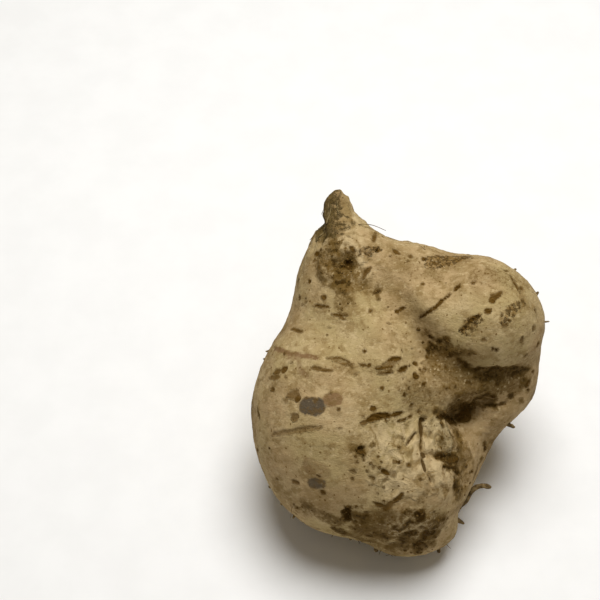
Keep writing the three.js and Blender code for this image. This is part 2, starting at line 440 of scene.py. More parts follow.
LIP_AWAY = 1.1  # from the crack's edge to the top of its lip
LIP_SPREAD = 0.6


def press(strokes, way):
    """Push the strokes (route, width, height, softness) out of the skin, or into it if way is -1."""
    for route, width, height, soft in strokes:
        near, gap = edge_gap(laid(route), width)
        raised[near] += way * height * fade(gap + width / 2, soft + width / 2)


def lay_crumple_highlights_and_shade(f, grown):
    """Painted shade in thin creases in patches; on the crumples, painted highlights on the tops and
    painted shade in the dips. Hands back their height.
    """
    creased = f.cloud(f.stretch(grown, (4.0, 2.2, 4.0)), 1, 5, 0.62)
    crease = f.span(f.maths("ABSOLUTE", f.maths("SUBTRACT", creased, 0.5)), 0.035, 0.0)
    crease = f.times(crease, f.span(f.cloud(grown, 11, 3), 0.46, 0.60))
    # painted shade along the thin creases
    f.lay(DULL_TAN, f.times(crease, 0.22))
    crumpled = f.layer("crumpled")
    crumple = f.cloud(f.stretch(grown, (4.0, 5.5, 4.0)), 1, 4, 0.6, 1.2)
    # painted highlights on the crumples' tops and painted shade in their dips
    f.lay(CREAM, f.times(crumpled, f.span(crumple, 0.42, 0.58, 0, 0.70)))
    f.lay(DULL_TAN, f.times(crumpled, f.span(crumple, 0.46, 0.34, 0, 0.60)))
    return f.times(crumple, f.span(crumpled, 0, 1, 0.15, 1))


crumpled = covered(CRUMPLED, CRUMPLE_FADE)
crumples = swell(body + warp, COARSE_CRUMPLE, 16) + 0.6 * swell(body - warp, FINE_CRUMPLE, 17)
raised += CRUMPLE_HEIGHT * (CALM_CRUMPLES + crumpled) * crumples
press(FOLDS, -1)
press(RIDGES, 1)

crack = np.full(len(body), FAR)
for route, width in CRACKS:
    keep_nearest(crack, *edge_gap(laid(route), width, blunt=0.3, stray=0.25))
raised -= CRACK_DEPTH * fade(crack, CRACK_SLOPE)
raised += CRACK_LIP * bell(crack - LIP_AWAY, LIP_SPREAD)


# ---------------------------------------------------------------- dust of soil
# Fine soil dusts the skin where it is rough, below the neck, round the hollows and at the root end,
# and on the underside and back in patches. It dulls the skin and sits on it in dark and pale grains.
# On the underside and on the left shoulder the dull film is also painted shade.
# Most of these strokes are soil dust; the one down the left shoulder is painted shade.
DUSTY_AND_SHADED = [  # where soil dusts the skin in fine grains: route, width, how strong it is
    ([(-1, -3), (6, -6), (14, -8)], 12.0, 0.62),
    ([(-22, 42), (-19, 34), (-16, 28)], 13.0, 1.0),
    ([(-8, -20), (-2, -34), (2, -42)], 16.0, 0.28),
    ([(-16, -49), (0, -51), (14, -52)], 17.0, 1.0),
    ([(6, 37), (16, 38), (26, 40)], 8.0, 0.6),
    ([(14, 6), (26, -3), (44, -3)], 9.0, 0.9),
    ([(12, -18), (17, -26), (20, -38)], 12.0, 0.7),
    ([(8, 8), (18, 0), (26, -4)], 12.0, 0.9),
    ([(-22, 60), (-21, 48)], 12.0, 0.5),
    ([(-36, 0), (-24, 4), (-4, 3)], 6.0, 0.45),
    # painted shade on the left shoulder, dulling it as a shadow would
    ([(-31, 40), (-35, 33), (-38, 25)], 9.0, 0.5),
    ([(-28, 47), (-23, 46), (-20, 42)], 6.0, 0.8),
    ([(-4, 43), (4, 37), (13, 31)], 10.0, 0.5),
    ([(22, 33), (31, 34), (37, 30)], 8.0, 0.62),
]
FRONT_FACING = 0.25  # skin that faces out more than this has its marks listed one by one
UNDERSIDE_DUST_AND_SHADE = 0.8
BACK_DUST = 0.7
DUST_PATCH = 16
DUST_HEIGHT = 0.3
DUST_AND_SHADE_TAN = (0.190, 0.122, 0.042)
DIRT_BROWN = (0.120, 0.062, 0.009)
DOT_SHAKE = 1.6  # per mm: the noise that takes the dots off their grid
FLECK_SHIFT = (3.3, 1.7, 5.1)  # so that no pale fleck lies on a dark speckle


def lay_dust_and_shade(f, grown, dusted_and_shaded):
    """A dull film where dust settled, and painted shade where the skin faces down and on the left
    shoulder.
    """
    settled = f.times(dusted_and_shaded, f.cloud(grown, 4, 5, 0.7))
    f.lay(DUST_AND_SHADE_TAN, f.span(settled, 0.1, 0.55, 0, 0.78))


def lay_dirt(f, grown, dusted_and_shaded):
    """Smudges of dirt, dark speckles and pale flecks. Hands back the dirt's height and the flecks."""
    dirt = f.maths("MULTIPLY_ADD", dusted_and_shaded, 0.20, f.cloud(grown, 1.5, 6, 0.78))
    f.lay(DIRT_BROWN, f.span(dirt, 0.60, 0.76, 0, 0.60))
    shake = {"Vector": grown, "Scale": DOT_SHAKE, "Detail": 2.0}
    shaken = f.vector("ADD", grown, f.add("ShaderNodeTexNoise", shake, "Color"))
    sparse = f.dots(shaken, 1.6, 0.42, 0.40)
    dense = f.times(f.dots(shaken, 1.15, 0.60, 0.44), f.span(dusted_and_shaded, 0.1, 0.9))
    f.lay(DIRT_BROWN, f.times(f.maths("MAXIMUM", sparse, dense), 0.82))
    flecks = f.dots(f.vector("ADD", shaken, FLECK_SHIFT), 1.3, 0.6, 0.45)
    f.lay(CREAM, f.times(flecks, f.span(dusted_and_shaded, 0.1, 0.9, 0.15, 0.6)))
    return f.times(dirt, f.span(dusted_and_shaded, 0, 1, 0.15, 1)), flecks


dust_and_shade = covered(DUSTY_AND_SHADED, reach=6, inset=2, blunt=0.3)
underside = fade(facing @ (OWN_AXES @ (0, 0, 1)) + 0.15, 0.5)
behind = fade(facing[:, 2] - FRONT_FACING + 0.2, 0.4)
patchy = np.clip(0.5 + 1.3 * swell(body, DUST_PATCH, 10), 0, 1)
# skin that faces down is dulled: soil dust and painted shade under the tuber
dust_and_shade = np.maximum(dust_and_shade, UNDERSIDE_DUST_AND_SHADE * underside * patchy)
dust_and_shade = np.maximum(dust_and_shade, BACK_DUST * behind * patchy)
raised += DUST_HEIGHT * dust_and_shade * swell(body, 3.0, 11)


# ---------------------------------------------------------------- corky scars
# The breathing pores and scratches of the skin heal into brown corky scars, most of them across the
# root. They are sunk a little, with a raised lip. The front ones are listed one by one, the rest strewn.
# Most are corky scars; one thin line on the left edge is painted shade.
FRONT_SCARS_AND_EDGE_SHADE = [  # route, width, tone from 0, pale, to 1, almost black
    ([(-8.4, 48), (-9.7, 44.5)], 1.1, 0.6),  # round the neck's foot
    ([(-29.2, 41.3), (-27.6, 40.4)], 1.8, 0.7),
    ([(-29.4, 38.5)], 1.4, 0.5),
    ([(-27.1, 42.3)], 1.1, 0.6),
    ([(-31.3, 32.2), (-31.2, 30.9)], 1.6, 0.75),
    ([(-28, 36.8), (-27.8, 35.6)], 1.2, 0.35),
    ([(-10.1, 36.3), (-11.9, 34.3), (-13.3, 31.8)], 1.4, 0.55),
    ([(-17.6, 43.3), (-16.4, 42.3), (-15.8, 41.3)], 1.3, 0.6),
    ([(-8.7, 42.2), (-7.6, 41.6)], 1.6, 0.65),
    ([(-3, 42.4), (-0.4, 40.8)], 1.5, 0.6),
    ([(3, 40)], 1.4, 0.5),
    ([(7.5, 39)], 1.4, 0.7),
    ([(-34.5, 27), (-34.5, 25)], 1.3, 0.6),
    ([(-26.5, 26)], 1.8, 0.6),
    ([(-30, 23.3), (-24, 22.9)], 0.8, 0.75),  # across the upper front
    ([(-23.8, 20.4), (-18.5, 20.4)], 0.75, 0.75),
    ([(-21.2, 19.9), (-19.2, 18.8)], 0.8, 0.5),
    ([(-11.4, 21.1), (-10.4, 21.8)], 1.1, 0.6),
    ([(-2.6, 20.9), (-1.4, 21.5)], 1.7, 0.85),
    ([(-1.8, 21.5), (0.9, 22.9)], 0.9, 0.75),
    ([(-37, 15.4), (-35, 15), (-33, 14.4)], 1.2, 0.55),
    ([(-13.1, 8.4)], 1.2, 0.8),
    ([(-25.5, 6.2), (-22, 6.1), (-19.6, 5.6), (-18, 4.8)], 1.1, 0.55),
    ([(-22.6, 5.1), (-19.7, 4.4), (-17, 4.1)], 1.0, 0.5),
    ([(-24, 5.7), (-18.5, 4.8)], 1.8, 0.15),
    ([(-30.6, 2.9), (-28.6, 2.7), (-26.8, 2.3)], 1.5, 0.5),
    ([(-27.4, 2.1), (-23.4, 1.9)], 0.9, 0.55),
    ([(-15, 4.2), (-12.4, 3.7)], 0.8, 0.65),
    ([(-12.2, 4), (-11.2, 3.4)], 1.3, 0.6),
    ([(-5.8, 4.9), (-3.8, 5.8), (-1.2, 5.9)], 1.5, 0.8),
    ([(-10, 2.6), (-6.3, 3.4), (-3.4, 3.7)], 0.9, 0.7),
    ([(-7.7, 3.7), (-4.8, 4.6), (-2.5, 4.8)], 1.7, 0.3),
    ([(-9, 1), (-6.3, 1.6)], 0.8, 0.45),
    ([(-7, 1.6), (-3.8, 1.9)], 1.0, 0.7),
    ([(-2.4, 1.9), (-0.4, 2.4), (1, 3.4)], 1.3, 0.9),
    ([(1.4, 3.7), (2.1, 3.5)], 0.9, 0.7),
    ([(3.1, 4.2), (4.7, 3.9)], 1.5, 0.85),
    ([(5.6, 2.1)], 1.0, 0.8),
    ([(7.2, 2.2)], 1.0, 0.65),
    ([(2.8, 0.3), (4.8, 0.2)], 2.0, 0.95),
    ([(6.3, -2), (6.8, -2.7)], 1.8, 0.8),
    ([(-0.1, -5.2), (0.1, -6.3)], 1.2, 0.75),
    ([(-7.5, -3.5)], 1.0, 0.65),
    ([(-16, 1)], 0.9, 0.5),
    ([(5, -11.7)], 1.1, 0.6),
    ([(8, 6.4)], 1.1, 0.55),
    ([(14.3, 3)], 1.2, 0.5),
    ([(-43, 0.6), (-40.5, 1.9)], 1.8, 0.5),  # on the left side
    ([(-40.6, 1.4), (-38.6, 2.5)], 2.5, 0.6),
    ([(-44.6, -0.8), (-40.8, -0.4)], 1.6, 0.45),
    ([(-44.2, -4.4), (-43, -4.8)], 1.3, 0.5),
    ([(-38.8, -6.2), (-36.4, -5.6), (-34.6, -5.9)], 2.4, 0.4),
    ([(-35.4, -5.8), (-35, -8)], 2.1, 0.6),
    ([(-39.6, -7.6), (-38.2, -8.2)], 1.3, 0.2),
    ([(-37.6, -13.8), (-34.6, -12.9)], 2.6, 0.4),
    # a thin dark line along the left edge: painted shade where the side turns away, drawn as a scar
    ([(-48.7, -10.8), (-48, -15)], 0.7, 0.75),
    ([(-21.8, -10.3)], 0.9, 0.6),
    ([(-37, -34.5), (-34.5, -35.6)], 1.1, 0.45),
    ([(-27, -38)], 1.6, 0.55),
    ([(-11.2, -10.6), (-9.4, -9.6)], 1.8, 0.8),  # on the lower front
    ([(-12.6, -13.9), (-10, -13), (-6.4, -12.6), (-3.6, -12.4)], 2.1, 0.9),
    ([(-5, -12.3), (-2.5, -12), (-0.5, -11.4)], 1.4, 0.8),
    ([(-14.7, -14.6), (-12.2, -14.5)], 1.4, 0.5),
    ([(-6.2, -13.8), (-5.8, -14.9)], 0.9, 0.5),
    ([(-2.3, -14.7), (0.2, -13.8), (2.7, -12.7)], 0.9, 0.85),
    ([(-1.2, -19.3), (-0.4, -20.8)], 0.9, 0.4),
    ([(-2.2, -23)], 0.9, 0.6),
    ([(-16.2, -25.7)], 1.0, 0.6),
    ([(-15.7, -27.4)], 0.8, 0.6),
    ([(-13.9, -25), (-13.6, -27)], 0.9, 0.3),
    ([(-9, -25.8)], 1.0, 0.5),
    ([(-11.8, -27.3), (-11.3, -28)], 1.0, 0.55),
    ([(-10.6, -28.3), (-10.3, -29.6)], 0.9, 0.45),
    ([(-8.9, -28.9), (-8.2, -29.6)], 1.1, 0.5),
    ([(-4.4, -27.5), (-3, -27.5)], 0.9, 0.4),
    ([(-2.6, -27.4), (-1.8, -28.2)], 1.3, 0.8),
    ([(1.2, -28.4)], 1.1, 0.65),
    ([(-7.9, -30.1), (-6.6, -30.9), (-5.3, -31.7)], 1.5, 0.8),
    ([(-5.8, -31.8), (-6.4, -33.4), (-7.8, -34.6)], 0.8, 0.3),
    ([(-18, -30.2), (-16, -30.7)], 1.2, 0.35),
    ([(-17.8, -33), (-17, -33.2)], 0.9, 0.45),
    ([(-12.3, -30.4)], 0.9, 0.5),
    ([(-11.8, -31.8), (-9.7, -33)], 0.9, 0.4),
    ([(-4, -31.9)], 1.2, 0.35),
    ([(-7, -36)], 0.9, 0.55),
    ([(-0.6, -37.6), (-1.8, -39.3), (-3.6, -41)], 1.6, 0.6),
    ([(-3.4, -40.8), (-5.2, -42.5), (-6.8, -44.1)], 2.0, 0.5),
    ([(-10.4, -40.8), (-8.7, -41.9), (-6.4, -42.4)], 1.4, 0.55),
    ([(12.9, -20.8)], 1.0, 0.7),
    ([(8.6, -19), (9.6, -18.2)], 0.7, 0.5),
    ([(5, 19), (10.3, 22.8), (15.8, 27.7)], 1.1, 0.95),  # on the right swelling
    ([(16.6, 28.2), (18.8, 30.3)], 1.4, 0.8),
    ([(27.6, 24.6), (32, 28)], 1.7, 0.6),
    ([(28.2, 24.2), (29.3, 25.7)], 1.9, 0.8),
    ([(26.3, 22.4), (27.7, 20.8)], 2.0, 0.7),
    ([(24.6, 20.2), (22.4, 19.4), (21, 17.6)], 1.2, 0.65),
    ([(20.6, 16.6), (18.6, 15.4), (19, 14)], 1.1, 0.55),
    ([(23.1, 17.6), (22.9, 16.8)], 0.9, 0.5),
    ([(31.2, 17.6), (32.4, 16.9), (33.9, 17.5)], 1.0, 0.45),
    ([(36, 34), (37.4, 30.5), (38.6, 27.4)], 1.0, 0.6),
    ([(39.6, 29)], 1.4, 0.5),
    ([(23, 31)], 1.3, 0.6),
    ([(6.5, 30.5)], 1.0, 0.6),
    ([(25.9, 12)], 1.6, 0.4),
    ([(39, 13), (39.2, 11)], 1.6, 0.35),
    ([(29, 9.1)], 1.0, 0.6),
    ([(30.5, 8.7)], 1.1, 0.8),
    ([(43.5, 16)], 1.8, 0.4),
    ([(45.8, 11), (45.4, 9.4)], 1.1, 0.5),
    ([(45.6, 1.2), (44.6, 0.4)], 1.1, 0.55),
    ([(43.8, -2), (43.2, -4.6)], 1.5, 0.6),
    ([(44.2, 21.8)], 1.2, 0.5),
    ([(41.4, 6.4)], 1.3, 0.35),
    ([(-43.5, -19.3), (-36, -17.8), (-26.5, -15.6)], 1.7, 0.3),
]
ROUGH_SCARS = [  # bands where the cork broke up into grains: route, width, how thick the grains lie
    ([(18.5, 13.8), (22, 17), (25.6, 20.4)], 3.8, 0.62),
    ([(31, 17), (34, 20.8), (38, 23.2), (40.5, 25)], 3.0, 0.66),
    ([(-14.5, 41.3), (-7.5, 42)], 2.6, 0.7),
    ([(8, 37.4), (16, 38.6), (24, 40.6)], 5.0, 0.75),
]
GRAIN_HEIGHT = 0.25
SCAR_DEPTH = 0.32
SCAR_LIP = 0.12
STREWN_SEED = 662
STREWN_SCARS = 90
STREWN_POINTS = 6  # on the line of each
STREWN_LENGTHS = [0.6, 3.0, 5.0, 9.0]
STREWN_SHARES = [0.3, 0.35, 0.25, 0.1]
SMALL_SCARS = 300
BARE_CHANCE = 0.25  # of a small scar where there is no dust, against 1.25 in thick dust
SCAR_TILT = 0.3  # how far a strewn scar turns off its course across the root, in radians
CORK_LIGHT = (0.190, 0.104, 0.022)
CORK_BROWN = (0.113, 0.057, 0.009)
CORK_AND_SHADE_BLACK = (0.056, 0.026, 0.002)
STRAND_SIZE = (2.6, 0.6, 2.6)


def add_scar(line, width, tone):
    """Add a scar to the scar layers. A wide one strays more."""
    near, gap = edge_gap(line, width, stray=0.12 + 0.08 * width)
    keep_nearest(scar, near, gap, [(scar_tone, tone)])


def strewn_line(centre, heading, length, bend):
    """A short line on the skin through centre, bent sideways by the given share of its length."""
    side = np.cross(heading, facing[centre])
    line = []
    for t in np.linspace(-0.5, 0.5, STREWN_POINTS):
        place = body[centre] + heading * length * t + side * bend * length * t * t
        line.append(np.array(tree.find_nearest(Vector(place))[0]))
    return np.array(line)


def strew_scar(centre, length, width, tone):
    """A scar that runs across the root, give or take, through the given point of the skin."""
    ring = np.cross(facing[centre], (0, 1, 0))
    ring /= max(np.linalg.norm(ring), 1e-6)
    climb = np.cross(facing[centre], ring)
    tilt = chance.normal(0, SCAR_TILT)
    heading = ring * math.cos(tilt) + climb * math.sin(tilt)
    add_scar(strewn_line(centre, heading, length, chance.uniform(-0.2, 0.2)), width, tone)


def lay_grain_bands(f, grown, flecks):
    """Bands of loose cork grains with pale flecks between. Hands back the grains."""
    grains = f.layer("grains")
    band = f.noisy(grains, f.cloud(grown, 1.8, 6, 0.75), 2.6)
    band = f.times(f.span(band, 0.15, 0.80), f.span(grains, 0, 0.2))
    grainy = f.times(band, f.span(f.cloud(grown, 1.2, 5, 0.7), 0.48, 0.60))
    f.lay(CORK_LIGHT, f.times(band, 0.6))
    f.lay(CORK_BROWN, f.times(grainy, 0.7))
    f.lay(CREAM, f.times(flecks, f.times(band, 0.6)))
    return grainy


def lay_cork(f, grown):
    """Stringy cork, darkest in the middle of each scar. Hands back where it lies."""
    tone = f.layer("scar_tone")
    wavy = f.noisy(f.layer("scar"), f.cloud(grown, 1.8, 2), 0.8, middle=0.76)
    corky = f.ragged(wavy, grown, 0.7, 1.3, 0.42)
    deep = f.span(wavy, 0.15, -0.45)
    strands = f.span(f.cloud(f.stretch(grown, STRAND_SIZE), 1, 4, 0.65), 0.42, 0.60)
    core = f.blend(f.span(tone, 0.35, 1.0), CORK_BROWN, CORK_AND_SHADE_BLACK)
    cork = f.blend(deep, CORK_BROWN, core)
    cork = f.blend(f.times(f.times(deep, strands), 0.45), cork, CORK_LIGHT)
    shown = f.times(f.span(tone, 0, 0.7, 0.3, 1.0), f.span(deep, 0, 1, 0.8, 1))
    f.lay(cork, f.times(corky, shown))
    return corky


scar = np.full(len(body), FAR)
scar_tone = np.zeros(len(body))
for route, width, tone in FRONT_SCARS_AND_EDGE_SHADE:
    add_scar(laid(route), width, tone)

grains = covered(ROUGH_SCARS, reach=1.0, inset=0.2, blunt=0.35)
raised += GRAIN_HEIGHT * grains * swell(body, 0.9, 9)

chance = np.random.default_rng(STREWN_SEED)
often = (BARE_CHANCE + dust_and_shade) / (BARE_CHANCE + dust_and_shade).sum()
hidden = np.flatnonzero(facing[:, 2] < FRONT_FACING)
for _ in range(STREWN_SCARS):
    length = chance.choice(STREWN_LENGTHS, p=STREWN_SHARES) * chance.uniform(0.8, 1.4)
    width = chance.uniform(0.8, 1.5) + 0.08 * length
    strew_scar(chance.choice(hidden), length, width, chance.uniform(0.3, 0.9))
for _ in range(SMALL_SCARS):
    centre = chance.choice(len(body), p=often)
    strew_scar(centre, chance.uniform(0.2, 1.8), chance.uniform(0.3, 0.9), chance.uniform(0.2, 0.8))

raised -= SCAR_DEPTH * fade(scar + 0.3, 0.6)
raised += SCAR_LIP * bell(scar - 0.7, 0.5)


# ---------------------------------------------------------------- bruises, stains and worn skin
# Knocks leave grey and brown bruises under the skin. Soil has stained it in every fold, at the root
# end and along the neck's foot; along the right and lower edges the brown is also painted shade.
# In places the skin is worn down to its pale underside, on the ridges beside the long crack also
# as a painted highlight, and beside the crack it has flaked.
BRUISES = [  # route, width, how brown, how strong
    ([(-32, -9.4), (-29, -9.3)], 6.0, 0.0, 0.95),
    ([(-30.4, -35.2), (-27.8, -35)], 4.0, 0.0, 0.85),
    ([(-24.8, -7.3), (-22.6, -7.2)], 4.4, 1.0, 0.8),
    ([(-23.5, -11), (-22.5, -11.5)], 3.0, 1.0, 0.18),
    ([(-42.3, 8.3), (-39, 7.9), (-35, 6.9), (-31.8, 6.2), (-28.9, 6)], 2.0, 1.0, 0.9),
    ([(-38, 5.9), (-34.8, 5.9)], 1.6, 1.0, 0.6),
    ([(-34.6, 7), (-34.6, 2.4), (-32.4, 0.2)], 1.8, 1.0, 0.5),
    ([(-31, -29), (-27, -31)], 6.0, 1.0, 0.35),
]
# Most strokes are soil stains; three along the right and lower edges are also painted shade.
STAINS_AND_SHADES = [  # route, width, how strong it is
    ([(8.6, 13.8), (9.6, 12.6)], 1.9, 0.95),  # in the valley beside the right swelling
    ([(7.4, 14.2)], 3.4, 0.3),
    ([(14, 12.3)], 1.6, 0.95),
    ([(10.6, 11.4), (13.2, 11.4)], 1.8, 0.8),
    ([(10, 10.4), (8.3, 7.9)], 1.8, 0.8),
    ([(9.8, 9.3), (11.4, 9.3)], 1.5, 0.7),
    ([(12, 10), (17, 8), (23, 7.5)], 5.5, 0.38),
    ([(14.6, 7), (16.2, 6.8)], 1.4, 0.75),
    ([(17.3, 7.6), (18.6, 7.2)], 1.3, 0.6),
    ([(17.8, 6), (19.5, 4.6), (21.8, 2.6)], 1.9, 0.85),
    ([(23.6, 2.2), (26.8, 2.2)], 3.8, 0.75),  # fold under the right swelling
    ([(20, 3.4), (26, 1), (34, 0.8), (41, 1.6)], 5.6, 0.45),
    ([(26.5, 1.4), (33.5, 1.3)], 4.0, 0.6),
    ([(31, 3.2), (33, 2.3), (34.4, 0.5)], 0.9, 1.0),
    ([(34, 2.6), (37.5, 2.3)], 2.0, 0.7),
    ([(37, 1), (41, 1.4), (43.6, 1.9)], 4.0, 0.6),
    ([(23, -0.8), (25.2, -1)], 0.9, 0.75),
    ([(26, -1), (29.5, -1.8)], 2.2, 0.5),
    ([(32, -2), (33.2, -3)], 1.8, 0.75),
    ([(42.3, -1.6), (42.4, -4.4)], 2.2, 0.5),
    ([(36.3, -7.6), (38.8, -7)], 2.0, 0.75),
    ([(41.5, -9.3)], 1.8, 0.45),
    ([(30.2, -6.8), (32, -7.4)], 1.7, 1.1),
    ([(26.5, -7.6), (30, -6.6)], 1.7, 0.7),
    ([(29, -9.2), (33, -8.8)], 2.0, 0.6),  # deep hollow and its edges
    ([(26.5, -11.3), (33.5, -11.6)], 2.6, 0.5),
    ([(20.4, -9.6), (22.5, -11.5), (25.6, -9.6)], 3.2, 1.0),
    ([(20.5, -15), (24, -15.5)], 3.0, 1.0),
    ([(22.3, -13)], 4.2, 0.85),
    ([(23.5, -6), (28.5, -5.2)], 2.6, 0.4),
    ([(24, -9), (28.2, -8.6)], 2.0, 1.0),
    ([(11.3, -13.2), (12.8, -14.8)], 1.2, 1.0),
    ([(12, -13.5), (15, -13.8), (16.5, -15)], 1.4, 1.0),
    ([(16, -15.6), (19.4, -16.4)], 2.4, 1.1),
    ([(10.3, -11.8), (15, -12)], 2.8, 0.5),
    ([(16, -9), (19, -11), (18.5, -13.5)], 4.0, 0.5),
    ([(17, -7), (22, -6.5)], 2.6, 0.35),
    ([(12.6, -14.6), (13.6, -16.8)], 1.4, 0.7),
    ([(11.4, -25.6), (13.5, -26.7), (15, -27.8)], 3.2, 1.0),  # soil pit
    ([(15, -27.2), (18.5, -28.4)], 3.0, 0.85),
    ([(18.3, -17.8), (20, -22), (19.3, -26.5)], 3.0, 0.5),
    ([(13.2, -29.7), (17.3, -30.6), (19.6, -33.4)], 1.6, 0.9),
    ([(15.8, -34.8), (19.4, -38)], 3.8, 0.62),
    ([(12, -35.8), (14.6, -38)], 3.0, 0.35),
    ([(19.5, -39), (19, -43)], 3.0, 0.45),
    ([(30.6, -24.5), (30, -28)], 2.0, 0.7),
    # soil stain and painted shade on the right edge, where it turns away
    ([(28.5, -30), (25, -36)], 2.4, 0.35),
    ([(20, -20), (22, -30), (21, -42)], 7.0, 0.25),
    ([(12.6, -20.8), (14, -24)], 3.4, 0.2),
    # soil stain and painted shade on the lower right edge, where it turns away
    ([(21.8, -44), (20.8, -51)], 2.4, 0.45),
    ([(3.5, -41), (7, -41.2)], 2.6, 0.3),
    ([(5.7, -37), (8, -37.2)], 2.4, 0.28),
    ([(-18.6, 38.7), (-16.8, 38.5)], 2.4, 1.0),  # at the neck's foot
    ([(-17.6, 37.8)], 3.8, 0.85),
    ([(-18.5, 38), (-15.2, 36.5)], 5.6, 0.42),
    ([(-23.3, 39.6), (-23.1, 37.6), (-22.4, 36.6), (-20.3, 36.3)], 1.4, 0.75),
    ([(-24.5, 44.4), (-20.2, 44.5)], 1.1, 0.45),
    ([(-23.9, 43.6), (-23.6, 41.6)], 1.7, 0.45),
    ([(-22, 43.8), (-21.6, 42)], 1.2, 0.45),
    ([(-27.5, 46), (-21.5, 46.5)], 3.2, 0.38),
    ([(-28, 41), (-22, 41)], 6.0, 0.42),
    ([(-29, 37), (-22, 36), (-15, 36)], 7.0, 0.42),
    ([(-27, 33), (-18, 31)], 6.0, 0.32),
    ([(-22.7, 31.3), (-17.6, 31.3)], 1.1, 0.8),
    ([(-18.1, 31), (-17.9, 29.4)], 1.5, 0.8),
    ([(-21.2, 34)], 1.8, 0.5),
    ([(-21, 29.5), (-17.5, 25)], 1.3, 0.6),
    ([(-20, 29), (-19.5, 22)], 5.0, 0.28),
    ([(-9.8, 27.2), (-7.2, 28.8)], 1.5, 0.65),
    ([(-8, 25), (-8.8, 27)], 0.9, 0.6),
    ([(-13.5, 27), (-8, 33)], 5.0, 0.22),
    ([(-16.2, -22.4), (-14.8, -23.4)], 2.9, 1.0),  # pits on the front
    ([(-14.4, -24.3)], 1.4, 1.0),
    ([(-18.8, -23.6), (-15, -23.4)], 3.2, 0.4),
    ([(-11.4, -20.8), (-11.2, -22.6)], 2.0, 0.5),
    ([(-19.6, -43.3), (-17.6, -43.5)], 1.7, 1.3),
    ([(-18.9, -44.2), (-18.8, -48.5)], 2.6, 1.3),
    ([(-21, -42.4), (-13.6, -43)], 1.7, 0.3),
    ([(-17.5, -46), (-10.5, -47)], 3.4, 0.5),
    ([(-0.6, -44.8), (0.2, -44.9)], 1.8, 0.85),  # root end
    ([(0, -44.6), (2.4, -44.4)], 1.2, 0.45),
    ([(3.8, -45.4), (6.6, -45.8)], 2.4, 0.85),
    ([(4.4, -47.2), (6.8, -47.6)], 3.2, 0.85),
    ([(1, -48), (3.8, -48.4)], 1.5, 0.85),
    ([(2, -48.4), (0.4, -50.4)], 1.7, 0.75),
    ([(-3.4, -49.2), (-2.8, -50.9), (0, -51)], 1.4, 0.85),
    ([(1.2, -52.5), (4, -54)], 3.4, 0.85),
    ([(7.6, -51), (8.4, -56)], 2.3, 0.95),
    ([(5.2, -57), (8, -58)], 2.2, 0.85),
    ([(8.9, -53.6), (11.6, -52.4)], 2.6, 0.85),
    ([(8.6, -48.6), (14, -48.4)], 1.6, 0.75),
    ([(10, -50.4), (12.6, -50.6)], 2.5, 0.75),
    ([(1, -54), (1.5, -60.5)], 4.6, 0.62),
    ([(6, -56), (7, -62)], 5.0, 0.62),
    ([(11, -53), (10.5, -60)], 4.0, 0.45),
    ([(-3, -57), (-2, -61)], 4.0, 0.4),
    ([(-8, -46), (-7.2, -49)], 1.4, 0.6),
    ([(-4.6, -47.4), (-4.3, -48.6)], 1.0, 0.5),
    ([(-15, -46.5), (-11, -48)], 4.6, 0.4),
    # soil stain and painted shade along the lower edge, where it turns under
    ([(-17, -50), (-10, -53), (-4, -56)], 7.0, 0.45),
    ([(-34, -42), (-27, -46), (-20, -50)], 5.0, 0.42),
    ([(-24, -51.5), (-16, -54.5), (-7, -58)], 3.2, 0.5),
]
# Most strokes are worn pale skin; the four on the ridges beside the crack are also painted highlights.
PALES_AND_HIGHLIGHTS = [  # where the skin is worn pale: route, width, how strong it is
    ([(-16.8, 58.3), (-15.8, 55.5), (-15.4, 52.8)], 1.6, 0.9),  # on the neck and below it
    ([(-25.6, 45.3), (-24.9, 45.2)], 1.0, 1.0),
    ([(-24.9, 45.8), (-22, 46.6)], 0.8, 0.7),
    ([(-21, 54.2), (-20.2, 53)], 0.9, 0.8),
    ([(-17.1, 51.8), (-17.2, 50.2)], 1.4, 0.8),
    ([(-18.4, 49.4), (-17, 49)], 0.7, 0.7),
    ([(-16.5, 47), (-13, 46)], 3.6, 0.35),
    ([(-13.6, 39.5), (-13, 36)], 1.7, 0.6),
    # these four: worn skin, and a painted highlight where the ridges beside the crack catch the light
    ([(7.8, -16), (8.2, -18)], 2.5, 0.9),  # beside the crack
    ([(7.6, -20.4), (8.2, -24)], 2.5, 0.8),
    ([(9.4, -27.6), (10.9, -30.8), (10.8, -36)], 1.7, 0.9),
    ([(15, -31.4), (15, -35)], 1.7, 0.6),
    ([(-5.6, -20.6)], 1.6, 0.7),
    ([(-8, -21), (-6.5, -23)], 2.8, 0.6),
    ([(-19, -12), (-17, -13)], 3.4, 0.5),
    ([(26, 9.5), (36, 8)], 6.0, 0.35),
    ([(41, 21), (43, 10)], 6.0, 0.5),
    ([(24, 13), (33, 11), (40, 12)], 7.0, 0.42),
    ([(-29, -8), (-21, -10), (-18, -18)], 7.5, 0.55),
    ([(-8, -26), (3, -34)], 8.0, 0.5),
    ([(-8, -35), (4, -39)], 6.0, 0.5),
    ([(-34, 0), (-22, -2)], 7.0, 0.35),
    ([(-18, 12), (-17, 8)], 3.0, 0.45),
    ([(-29, -4.4), (-25, -3.8)], 2.2, 0.6),
    ([(-4.5, -48.5), (-0.5, -51.8)], 3.4, 0.8),  # root end
    ([(1.3, -46.4), (2.4, -47.1)], 1.5, 0.8),
    ([(14, -50.5), (12.5, -56)], 3.0, 0.45),
    ([(6, -50.6), (5.8, -52.6)], 1.0, 0.7),
]
FLAKED_ROUTE = [(9, -16.5), (13, -18.5), (14, -22.6)]
FLAKED_WIDTH = 6.4
FLAKE_SIZE = np.array([1.6, 2.4, 1.6])
SOIL_HEIGHT = 0.8
FLAKE_HEIGHT = 0.5
BRUISE_GREY = (0.086, 0.066, 0.043)
BRUISE_BROWN = (0.190, 0.105, 0.045)
STAIN_AND_SHADE_BROWN = (0.122, 0.070, 0.015)
